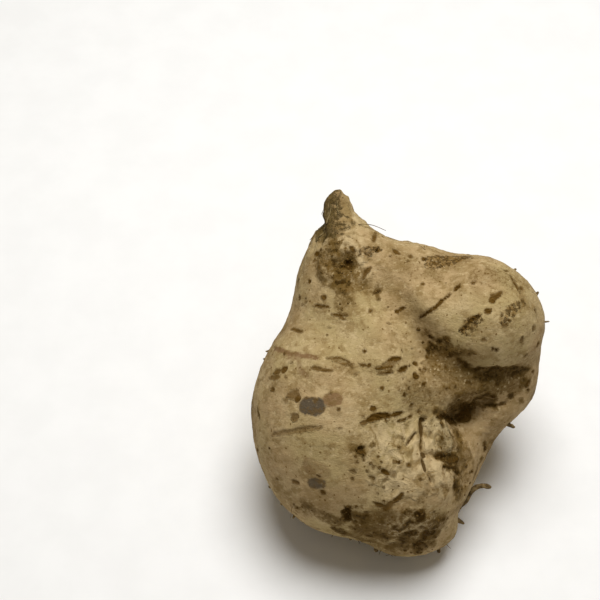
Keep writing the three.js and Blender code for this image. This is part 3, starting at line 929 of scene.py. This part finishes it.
STAIN_DARK = (0.098, 0.050, 0.009)
STAIN_BLACK = (0.046, 0.020, 0.002)
FLAKE_PALE = (0.47, 0.37, 0.195)
FLAKE_DARK = (0.31, 0.225, 0.098)


def lay_worn_skin_and_highlights(f, grown):
    """Cream where the skin is worn, and as a painted highlight on the ridges beside the crack, in flecks
    towards the edges.
    """
    pale_and_highlight = f.layer("pale_and_highlight")
    worn = f.span(f.noisy(pale_and_highlight, f.cloud(grown, 1.6, 5, 0.7), 2.0), 0.0, 1.1)
    f.lay(CREAM, f.times(f.times(worn, f.span(pale_and_highlight, 0, 0.6)), 0.65))


def lay_bruises(f, grown):
    """Grey or brown bruises, each as strong as its stroke says, with a little dirt on them."""
    bruised = f.ragged(f.layer("bruise"), grown, 0.9, 1.8, 0.45)
    tint = f.blend(f.layer("bruise_brown"), BRUISE_GREY, BRUISE_BROWN)
    tint = f.blend(f.span(f.cloud(grown, 2.4, 5, 0.6), 0.46, 0.62, 0, 0.6), tint, DIRT_BROWN)
    f.lay(tint, f.times(bruised, f.layer("bruise_depth")))


def lay_flaked_skin(f, grown):
    """Dry flakes, pale on top and dark between. Hands back their height."""
    dried = f.ragged(f.layer("weathered"), grown, 2.2, 5.0, 1.3)
    flakes = f.cloud(f.stretch(grown, (1.5, 2.4, 1.5)), 1, 5, 0.75)
    f.lay(f.blend(f.span(flakes, 0.62, 0.46), FLAKE_DARK, FLAKE_PALE), f.times(dried, 0.5))
    return f.times(dried, flakes)


def lay_stains_and_shade(f, grown):
    """A brown tint where soil soaked in, and painted shade on a few strokes along the edges; dark soil
    where it caked. Hands back where it caked.
    """
    stain_and_shade = f.layer("stain_and_shade")
    soiled = f.noisy(stain_and_shade, f.cloud(grown, 3.4, 8, 0.74), 3.2)
    tinted = f.times(f.span(soiled, 0.0, 0.75), f.span(stain_and_shade, 0.0, 0.3))
    f.lay(STAIN_AND_SHADE_BROWN, f.times(tinted, 0.85))
    caked = f.times(f.span(soiled, 0.80, 1.25), f.span(stain_and_shade, 0.2, 0.7))
    soil = f.blend(f.span(soiled, 1.1, 1.8), STAIN_DARK, STAIN_BLACK)
    f.lay(soil, f.times(caked, 0.88))
    return caked


bruise = np.full(len(body), FAR)
bruise_brown = np.zeros(len(body))
bruise_depth = np.zeros(len(body))
for route, width, brown, strength in BRUISES:
    near, gap = edge_gap(laid(route), width, blunt=0.0, stray=0.35)
    keep_nearest(bruise, near, gap, [(bruise_brown, brown), (bruise_depth, strength)])

stain_and_shade = np.zeros(len(body))
for route, width, strength in STAINS_AND_SHADES:
    near, gap = edge_gap(laid(route), width, blunt=0.2, stray=0.25 + 0.15 * width)
    stain_and_shade[near] = np.maximum(stain_and_shade[near], strength * np.clip(1 - gap / (0.6 + 0.27 * width), 0, 1.5))
raised += SOIL_HEIGHT * np.clip(stain_and_shade - 0.3, 0, 1) * (swell(body, 1.7, 18) + 0.3)

pale_and_highlight = covered(PALES_AND_HIGHLIGHTS, reach=1.6, stray=0.3, stray_more=0.15)

weathered = np.full(len(body), FAR)
keep_nearest(weathered, *edge_gap(laid(FLAKED_ROUTE), FLAKED_WIDTH, blunt=0.0, stray=2.0))
raised += FLAKE_HEIGHT * fade(weathered, 2.0) * swell(body, FLAKE_SIZE, 12)


# ---------------------------------------------------------------- the neck's bark
# The neck is woody: old bark wraps it and ends below in a torn collar with a pale lip. Towards the
# right the bark has worn off in flecks. A crease parts the neck from the left shoulder.
NECK_FOOT = np.array([-21.8, 46.0, 3.0])
NECK_TIP = np.array([-22.0, 60.0, 2.0])
NECK_CREASE = [(-27.2, 54), (-27, 50), (-26.6, 46.5)]
CREASE_DEPTH = 1.7
CREASE_REACH = 2.6  # how far beside it the skin slopes in
COLLAR_LIP = [(-26, 45.4), (-23.5, 45.2), (-21.5, 46.2)]
LIP_HEIGHT = 0.4
LIP_REACH = 0.9
BARK_END = 44.8  # how far up the tuber the collar lies
BARK_REACH = 6.2  # to either side of the neck's axis
BARK_THICKNESS = 0.20
BARK_RIDGES = 0.25  # the ridges along it stand this much higher or lower
BARE_SIDE = math.radians(75)  # round the neck, from straight out towards the right
BARE_SPREAD = math.radians(80)
BARE_RISE = 5  # the collar lies this much higher on the bare side,
BACK_RISE = 7  # and this much higher at the back
TEARS = [(1.8, 4.0, 7), (1.4, 1.6, 19)]  # how far the bark's edge is torn, over what length, the seed
RIDGE_SIZE = np.array([1.6, 6.0, 1.6])  # bark ridges run along the neck
KNOB_SIZE = np.array([0.9, 1.6, 0.9])
NECK_LENGTH = 16  # with its rim
NECK_FADE = 10  # its knobs die out this far below its foot
KNOB_HEIGHT = 0.28
FOOT_WRINKLE_HEIGHT = 0.4
FOOT_WRINKLE_SIZE = np.array([2.6, 8.0, 2.6])
FOOT_RADIUS = 9  # the wrinkles are full to this far from the neck's foot,
FOOT_FADE = 16  # and die out over this
FIBRE_SIZE = (1.7, 3.4, 1.7)
BARK_DARK = (0.062, 0.040, 0.009)
BARK_LIGHT = (0.165, 0.112, 0.040)


def lay_bark(f, grown):
    """Grey-brown fibres, worn to flecks on the bare side. Hands back the fibres' height."""
    fibres = f.cloud(f.stretch(grown, FIBRE_SIZE), 1, 5, 0.66)
    barked = f.ragged(f.layer("bark"), grown, 2.2, 3.5, 0.9)
    f.lay(DULL_TAN, f.times(barked, 0.5))
    left = f.noisy(f.layer("bare"), f.cloud(grown, 1.8, 5, 0.7), -2.4)
    barked = f.times(barked, f.span(left, 0.72, 0.20))
    f.lay(f.blend(f.span(fibres, 0.38, 0.66), BARK_DARK, BARK_LIGHT), f.times(barked, 0.9))
    return barked, fibres


near, gap = edge_gap(laid(NECK_CREASE), 1.0, blunt=0.0, stray=0.3)
raised[near] -= CREASE_DEPTH * fade(gap, CREASE_REACH)
near, gap = edge_gap(laid(COLLAR_LIP), 0.8, blunt=0.3, stray=0.4)
raised[near] += LIP_HEIGHT * fade(gap, LIP_REACH)

neck_run = (body[:, 1] - NECK_FOOT[1]) / (NECK_TIP[1] - NECK_FOOT[1])
neck_axis = NECK_FOOT + neck_run[:, None] * (NECK_TIP - NECK_FOOT)
round_neck = np.arctan2(body[:, 0] - neck_axis[:, 0], body[:, 2] - neck_axis[:, 2])
turned = (round_neck - BARE_SIDE + math.pi) % (2 * math.pi) - math.pi
bare = bell(turned, BARE_SPREAD)
at_back = (0.5 - 0.5 * np.cos(round_neck)) ** 2  # 0 in front, 1 behind
torn = sum(far * swell(body, size, seed) for far, size, seed in TEARS)
bark = BARK_END + BARE_RISE * bare + BACK_RISE * at_back - body[:, 1]
bark = np.maximum(bark, np.abs(body[:, 0] - neck_axis[:, 0]) - BARK_REACH)
bark = np.clip(bark + torn * (1 + at_back), -FAR, FAR)
thick = BARK_THICKNESS + BARK_RIDGES * swell(body, RIDGE_SIZE, 8)
raised += np.where(bark < 0, thick, 0) * fade(bark, 0.5)
on_neck = fade(-neck_run * NECK_LENGTH, NECK_FADE)
raised += KNOB_HEIGHT * on_neck * (swell(body, 2.4, 14) + 0.5 * swell(body, KNOB_SIZE, 15))
below_neck = fade(np.linalg.norm(body - NECK_FOOT, axis=1) - FOOT_RADIUS, FOOT_FADE)
raised += FOOT_WRINKLE_HEIGHT * below_neck * swell(body, FOOT_WRINKLE_SIZE, 13)


# ---------------------------------------------------------------- the carved skin
# The skin is moved by all that was gathered above, kept off the table, and the marks are stored on
# it for its finish. Soil gathers in what ends up hollow, so hollowness is measured on the result; the
# finish darkens the hollows brown, for soil and as painted shade.
SMOOTHING_ROUNDS = 40
SKIN_SHINE = 0.03

body = body + facing * raised[:, None]
placed = to_row(body)
placed[:, 2] = np.maximum(placed[:, 2], 0)
skin_mesh.vertices.foreach_set("co", placed.astype(np.float32).ravel())
skin_mesh.update()


def neighbour_mean(values):
    """For each point, the mean of the values at the points that share an edge with it."""
    count = np.bincount(edges.ravel(), minlength=len(values))
    total = np.zeros_like(values)
    for axis in range(values.shape[1]):
        total[:, axis] += np.bincount(edges[:, 0], values[edges[:, 1], axis], len(values))
        total[:, axis] += np.bincount(edges[:, 1], values[edges[:, 0], axis], len(values))
    return total / count[:, None]


smoothed = body
for _ in range(SMOOTHING_ROUNDS):
    smoothed = neighbour_mean(smoothed)
hollow = ((smoothed - body) * facing).sum(axis=1)

for name, values in {
    "grown": body,
    "scar": scar,
    "scar_tone": scar_tone,
    "crack": crack,
    "bruise": bruise,
    "bruise_brown": bruise_brown,
    "bruise_depth": bruise_depth,
    "weathered": weathered,
    "stain_and_shade": stain_and_shade,
    "pale_and_highlight": pale_and_highlight,
    "dust_and_shade": dust_and_shade,
    "grains": grains,
    "bark": bark,
    "bare": bare,
    "hollow": hollow,
    "crumpled": crumpled,
}.items():
    kind, field = ("FLOAT_VECTOR", "vector") if values.ndim == 2 else ("FLOAT", "value")
    layer = skin_mesh.attributes.new(name, kind, "POINT")
    layer.data.foreach_set(field, values.astype(np.float32).ravel())

skin = bpy.data.objects.new("tuber_skin", skin_mesh)
bpy.context.scene.collection.objects.link(skin)


def skin_finish():
    """All that was gathered above, laid on the skin in the order in which it came about."""
    f = Finish("tuber_skin")
    grown = f.place("grown")
    dusted_and_shaded = f.layer("dust_and_shade")
    fine = f.cloud(grown, 0.9, 3, 0.6)
    smear = lay_fresh_skin(f, grown, fine)
    lay_dust_and_shade(f, grown, dusted_and_shaded)
    crumple = lay_crumple_highlights_and_shade(f, grown)
    lay_worn_skin_and_highlights(f, grown)
    lay_bruises(f, grown)
    # hollows darkened brown: soil and painted shade
    f.lay(STAIN_AND_SHADE_BROWN, f.span(f.layer("hollow"), 0.25, 1.0, 0, 0.5))
    flaked = lay_flaked_skin(f, grown)
    dirt, flecks = lay_dirt(f, grown, dusted_and_shaded)
    caked = lay_stains_and_shade(f, grown)
    grainy = lay_grain_bands(f, grown, flecks)
    corky = lay_cork(f, grown)
    # the crack is painted near black: dark cork and painted shade in it
    f.lay(CORK_AND_SHADE_BLACK, f.times(f.ragged(f.layer("crack"), grown, 0.8, 0.6, 0.2), 0.9))
    barked, fibres = lay_bark(f, grown)

    normal = None
    for height, depth in [  # what stands proud of the skin and by how many mm, the pores first
        (f.maths("MULTIPLY_ADD", f.cloud(grown, 0.45, 2, 0.5), 0.5, fine), 0.14),
        (smear, 0.35),
        (crumple, 0.9),
        (dirt, 0.5),
        (flaked, 0.9),
        (f.times(corky, f.cloud(grown, 0.6, 3, 0.7)), 0.5),
        (f.times(caked, f.cloud(grown, 1.1, 4, 0.65)), 0.9),
        (grainy, 0.35),
        (f.times(barked, fibres), 0.8),
    ]:
        normal = f.relief(height, depth, normal)
    dull = f.maths("MAXIMUM", f.maths("MAXIMUM", corky, caked), barked)
    roughness = f.maths("MULTIPLY_ADD", fine, 0.2, f.span(dull, 0, 1, 0.58, 0.78))
    return f.done(roughness, normal, **{"Specular IOR Level": SKIN_SHINE})


skin_mesh.materials.append(skin_finish())
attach(skin, "root")
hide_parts("tuber")


# ---------------------------------------------------------------- side root
# One thin root still grows from the right side of the root end. It is woody and knobbly, flared
# where it leaves the flesh, and it curls up and out to a dry, broken tip.
SIDE_ROOT_RADIUS = 1.0
SIDE_ROOT_TAPER = 0.12
SIDE_ROOT_FLARE = 1.7  # added to the radius where it leaves the flesh
SIDE_ROOT_NIP = 0.45  # taken off the radius at the tip,
NIP_LENGTH = 0.07  # over this share of the root
SIDE_ROOT_SIDES = 10
ROOT_DARK = (0.085, 0.054, 0.022)
ROOT_LIGHT = (0.27, 0.19, 0.085)
DRY_SHINE = 0.05
OFF_TABLE = 0.05  # no piece comes lower than this above the table


def tube(line, radii, sides, squeeze=1.0, knobs=0.0, seed=0, lead=(0, 0, 1)):
    """Points and faces of a closed tube; squeeze flattens it, knobs roughen it by that share."""
    line = np.asarray(line, float)
    places = []
    side = np.cross(lead, line[1] - line[0])
    for i, (middle, radius) in enumerate(zip(line, radii)):
        run = line[min(i + 1, len(line) - 1)] - line[max(i - 1, 0)]
        run /= np.linalg.norm(run)
        side = side - run * (side @ run)
        side /= np.linalg.norm(side)
        depth = np.cross(run, side)
        for k in range(sides):
            turn = 2 * math.pi * k / sides
            knob = noise.noise(Vector((i * 0.9, k * 1.7, seed * 3.1)))
            spoke = math.cos(turn) * side + squeeze * math.sin(turn) * depth
            places.append(middle + radius * (1 + knobs * knob) * spoke)
    places += [line[0], line[-1]]
    foot = len(line) * sides
    made = []
    for k in range(sides):
        rows = range(0, foot - sides, sides)
        after = (k + 1) % sides
        made += [(r + k, r + after, r + sides + after, r + sides + k) for r in rows]
        made += [(after, k, foot), (foot - sides + k, foot - sides + after, foot + 1)]
    return places, made


def piece(name, parts, finish, levels=0):
    """One object of all the parts, each a list of points in the tuber's frame and its faces."""
    points, made = [], []
    for places, part_faces in parts:
        made += [tuple(i + len(points) for i in f) for f in part_faces]
        points += list(places)
    placed = to_row(points)
    placed[:, 2] = np.maximum(placed[:, 2], OFF_TABLE * MM)
    mesh = bpy.data.meshes.new(name)
    mesh.from_pydata(placed.tolist(), [], made)
    mesh.validate()
    mesh.shade_smooth()
    mesh.materials.append(finish)
    built = bpy.data.objects.new(name, mesh)
    bpy.context.scene.collection.objects.link(built)
    if levels:
        built.modifiers.new("rounded", "SUBSURF").levels = levels
        built.modifiers["rounded"].render_levels = levels
    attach(built, "root")


def dry_finish(name, dark, light, size, depth):
    """Dull, rough and patchy, in two colours: for roots, bark and soil."""
    f = Finish(name)
    spot = f.add("ShaderNodeTexCoord", {}, "Object")
    spot = f.add("ShaderNodeVectorMath", {0: spot, "Scale": 1 / MM}, operation="SCALE")
    patch = f.cloud(spot, size, 5, 0.65)
    grit = f.cloud(spot, size * 0.3, 3, 0.6)
    f.colour = f.blend(f.span(patch, 0.38, 0.64), dark, light)
    f.lay(dark, f.span(grit, 0.5, 0.75, 0, 0.5))
    normal = f.relief(grit, depth * 0.5, f.relief(patch, depth))
    return f.done(f.span(grit, 0.3, 0.7, 0.75, 0.95), normal, **{"Specular IOR Level": DRY_SHINE})


root_finish = dry_finish("root_bark", ROOT_DARK, ROOT_LIGHT, 1.6, 0.2)
side_line = smooth_route(SIDE_ROOT_ROUTE)
share = np.linspace(0, 1, len(side_line))
side_radii = SIDE_ROOT_RADIUS - SIDE_ROOT_TAPER * share + SIDE_ROOT_FLARE * np.exp(-share * 7)
side_radii -= SIDE_ROOT_NIP * np.clip(share - (1 - NIP_LENGTH), 0, 1) / NIP_LENGTH
side_root = tube(side_line, side_radii, SIDE_ROOT_SIDES, knobs=0.35, seed=4)
piece("side_root", [side_root], root_finish, levels=1)


# ---------------------------------------------------------------- broken roots and root hairs
# Where other thin roots broke off they left short stubs. Fine hairs of dry root stand on the root
# end, round the neck's foot and here and there along the edges.
STUBS = [  # where, heading, length, radius
    ((37.6, -17.5, 3.5), (1, -0.5, 0.1), 2.6, 0.8),
    ((20.2, -51.5, 2), (1, -0.6, 0), 2.6, 0.8),
    ((-5.5, -57.6, 0), (-0.1, -1, 0), 1.8, 1.0),
    ((-15.5, -54.2, -1), (-0.4, -1, 0), 2.0, 0.8),
    ((12.5, -58.2, 0), (0.2, -1, 0), 1.6, 0.9),
    ((48.2, 17.8, 13), (1, 0.1, 0), 1.6, 0.35),
    ((-43, -39, 0), (-1, -0.6, 0), 1.3, 0.8),
    ((-38, -43.7, 0), (-0.7, -1, 0), 1.2, 0.9),
]
HIDDEN_STUBS = 9
STUB_SUNK = 0.45  # the share of a stub's length that is sunk in the skin
STUB_RINGS = 7
STUB_SIDES = 9
STUB_HEIGHT = 2  # a hidden stub grows only where the skin is this far above the table
HAIRS = 26
HAIR_HEIGHT = 3  # and a hair only this far above it
HAIR_RINGS = 7
HAIR_SIDES = 5
HAIR_RADII = (0.14, 0.06)  # at the foot and at the tip
HAIRY_BANDS = [(1.0, -55, 12), (0.5, 44, 4)]  # how hairy, how far up the tuber, and the spread
HAIRY_ELSEWHERE = 0.03
LONG_HAIR = [(-17.5, 50, 9), (-13.5, 51.2, 9.5), (-9.2, 50.9, 8), (-4.6, 49.2, 5.5)]  # beside the neck
LONG_HAIR_SIDES = 6
LONG_HAIR_RADII = (0.17, 0.09)
HAIR_DARK = (0.10, 0.065, 0.028)
HAIR_LIGHT = (0.26, 0.18, 0.08)


def stub(foot, heading, length, radius, seed):
    """A short root broken off, with its foot sunk in the skin."""
    heading = np.asarray(heading, float)
    heading /= np.linalg.norm(heading)
    t = np.linspace(-STUB_SUNK, 1, STUB_RINGS)
    line = np.asarray(foot, float) + heading * (t * length)[:, None]
    radii = radius * (1 + 0.7 * np.exp(-(t + STUB_SUNK) * 4) - 0.25 * np.clip(t, 0, 1))
    radii[-1] *= 0.55
    return tube(line, radii, STUB_SIDES, knobs=0.5, seed=seed)


carved = BVHTree.FromPolygons(body.tolist(), faces)
stubs = []
for i, (foot, heading, length, radius) in enumerate(STUBS):
    foot = np.array(carved.find_nearest(Vector(foot))[0])
    stubs.append(stub(foot, heading, length, radius, i))
for i in range(HIDDEN_STUBS):
    at = chance.choice(hidden)
    if placed[at, 2] > STUB_HEIGHT * MM:
        lean = facing[at] + chance.normal(0, 0.35, 3)
        stubs.append(stub(body[at], lean, chance.uniform(0.5, 1.2), chance.uniform(0.3, 0.6), i + 20))
piece("root_stubs", stubs, root_finish, levels=1)

hairy = sum(much * bell(body[:, 1] - up, spread) for much, up, spread in HAIRY_BANDS)
hairy = (hairy + HAIRY_ELSEWHERE) * (placed[:, 2] > HAIR_HEIGHT * MM)
hairs = []
for i, at in enumerate(chance.choice(len(body), HAIRS, p=hairy / hairy.sum())):
    length = chance.uniform(1.0, 3.2)
    heading = facing[at] * 0.45 + chance.normal(0, 0.7, 3)
    curl = chance.normal(0, 0.5, 3)
    t = np.linspace(0, 1, HAIR_RINGS)[:, None]
    line = body[at] - facing[at] * 0.3 + length * (heading * t + curl * t * t)
    hairs.append(tube(line, np.linspace(*HAIR_RADII, HAIR_RINGS), HAIR_SIDES, knobs=0.2, seed=i))
line = smooth_route(LONG_HAIR)
hairs.append(tube(line, np.linspace(*LONG_HAIR_RADII, len(line)), LONG_HAIR_SIDES, knobs=0.2, seed=99))
piece("root_hairs", hairs, dry_finish("dry_hair", HAIR_DARK, HAIR_LIGHT, 1.2, 0.05))


# ---------------------------------------------------------------- loose strips of bark
# Strips of old bark lie along the woody neck. Each is a thin, flat fibre stuck to the neck for most
# of its length, with its torn lower end lifting off.
BARK_STRIPS = 18
STRIP_SPREAD = 1.15  # how far round the neck, in radians, from the side away from the bare one
STRIP_WIDTHS = np.array([0.5, 0.9, 1, 1, 1, 1, 0.9, 0.7, 0.3])  # from the lower end to the upper
STRIP_SIDES = 6
STRIP_FLATNESS = 0.35
STRIP_DARK = (0.075, 0.055, 0.018)
STRIP_LIGHT = (0.24, 0.175, 0.080)

strips = []
for i in range(BARK_STRIPS):
    turn = BARE_SIDE + math.pi + chance.normal(0, STRIP_SPREAD)
    low = chance.uniform(-0.15, 0.65)
    high = min(low + chance.uniform(0.25, 0.6), 0.98)
    lift = chance.uniform(0.1, 0.7)
    twist = chance.normal(0, 0.12)
    line = []
    for t in np.linspace(0, 1, len(STRIP_WIDTHS)):
        axis = NECK_FOOT + (low + (high - low) * t) * (NECK_TIP - NECK_FOOT)
        way = np.array([math.sin(turn + twist * t), 0.0, math.cos(turn + twist * t)])
        hit = carved.ray_cast(Vector(axis + way * 20), Vector(-way))[0]
        if hit is None:
            break
        line.append(np.array(hit) + way * (0.02 + lift * (1 - t) ** 4))
    if len(line) == len(STRIP_WIDTHS):
        radii = chance.uniform(0.25, 0.5) * STRIP_WIDTHS
        strips.append(tube(line, radii, STRIP_SIDES, squeeze=STRIP_FLATNESS, knobs=0.5, seed=i, lead=way))
piece("neck_bark_strips", strips, dry_finish("neck_bark", STRIP_DARK, STRIP_LIGHT, 2.2, 0.25))


# ---------------------------------------------------------------- soil
# Crumbs of dried soil cling in the folds, in the pits and on the root end. Each is a lumpy ball,
# pressed flat against the skin and sunk into it by half.
CRUMBS = 420
CRUMB_HEIGHT = 2  # a crumb clings only where the skin is this far above the table
CRUMB_RADIUS = 0.22
CRUMB_SPREAD = 0.45  # the largest crumbs are this much more in radius
CRUMB_FLATNESS = 0.45
CRUMB_LUMPS = 0.6
SOIL_DARK = (0.070, 0.038, 0.007)
SOIL_LIGHT = (0.190, 0.115, 0.036)

ball = bmesh.new()
bmesh.ops.create_icosphere(ball, subdivisions=2, radius=1)
ball_points = np.array([v.co for v in ball.verts])
ball_faces = [tuple(v.index for v in f.verts) for f in ball.faces]
ball.free()
clinging = np.clip(stain_and_shade, 0, 1) ** 2 + 0.25 * np.clip(hollow - 0.3, 0, 1)
clinging *= placed[:, 2] > CRUMB_HEIGHT * MM
crumbs = []
for i, at in enumerate(chance.choice(len(body), CRUMBS, p=clinging / clinging.sum())):
    sizes = CRUMB_RADIUS + CRUMB_SPREAD * chance.random() ** 3 * chance.uniform(0.7, 1.3, 3)
    spin = np.linalg.qr(chance.normal(0, 1, (3, 3)))[0]
    lumpy = 1 + CRUMB_LUMPS * np.array([noise.noise(Vector(p * 1.6 + i * 7.7)) for p in ball_points])
    crumb = (ball_points * lumpy[:, None] * sizes) @ spin
    crumb -= CRUMB_FLATNESS * (crumb @ facing[at])[:, None] * facing[at]
    crumbs.append((crumb + body[at], ball_faces))
piece("soil_crumbs", crumbs, dry_finish("soil", SOIL_DARK, SOIL_LIGHT, 1.0, 0.25))


# ---------------------------------------------------------------- floor, light and camera
# A plain pale floor that is a little mottled, one large soft lamp overhead and behind, a warm dim
# room, and a camera that looks down on the tuber from the front.
FLOOR_SIDE = 4.0
FLOOR_GREY = (0.84, 0.84, 0.83)
FLOOR_PALE = (0.87, 0.87, 0.86)
LAMP_PLACE = (0.04, 0.18, 0.9)
LAMP_LEAN = (math.radians(-11.3), math.radians(2.5), 0)  # it faces the tuber
LAMP_WIDTH = 0.6
LAMP_POWER = 9.1
ROOM_COLOUR = (1, 0.915, 0.78, 1)
ROOM_STRENGTH = 0.2
CAMERA_RISE = math.radians(52)  # above the level
CAMERA_AWAY = 466.7
CAMERA_LENS = 80
AIM = (-34.3, 25.2, 0.0)

bpy.ops.mesh.primitive_grid_add(x_subdivisions=8, y_subdivisions=8, size=FLOOR_SIDE)
floor = bpy.context.object
floor.name = "floor"
floor_finish = Finish("pale_floor")
floor_place = floor_finish.add("ShaderNodeTexCoord", {}, "Object")
floor_tone = floor_finish.span(floor_finish.cloud(floor_place, 0.02, 3), 0.3, 0.7)
floor_finish.colour = floor_finish.blend(floor_tone, FLOOR_GREY, FLOOR_PALE)
floor.data.materials.append(floor_finish.done(0.9, floor_finish.relief(floor_tone, 0.02)))

lamp = bpy.data.lights.new("overhead", "AREA")
lamp.shape = "DISK"
lamp.size = LAMP_WIDTH
lamp.energy = LAMP_POWER
overhead = bpy.data.objects.new("overhead", lamp)
overhead.location = LAMP_PLACE
overhead.rotation_euler = LAMP_LEAN
bpy.context.scene.collection.objects.link(overhead)

world = bpy.data.worlds.new("room")
world.use_nodes = True
world.node_tree.nodes["Background"].inputs["Color"].default_value = ROOM_COLOUR
world.node_tree.nodes["Background"].inputs["Strength"].default_value = ROOM_STRENGTH
bpy.context.scene.world = world
bpy.context.scene.view_settings.view_transform = "Standard"

lens = bpy.data.cameras.new("camera")
lens.lens = CAMERA_LENS
lens.clip_start = 0.01
camera = bpy.data.objects.new("camera", lens)
look = Vector((0, -math.cos(CAMERA_RISE), math.sin(CAMERA_RISE)))
camera.location = Vector(to_row(AIM)) + look * CAMERA_AWAY * MM
camera.rotation_mode = "QUATERNION"
camera.rotation_quaternion = look.to_track_quat("Z", "Y")
bpy.context.scene.collection.objects.link(camera)
bpy.context.scene.camera = camera
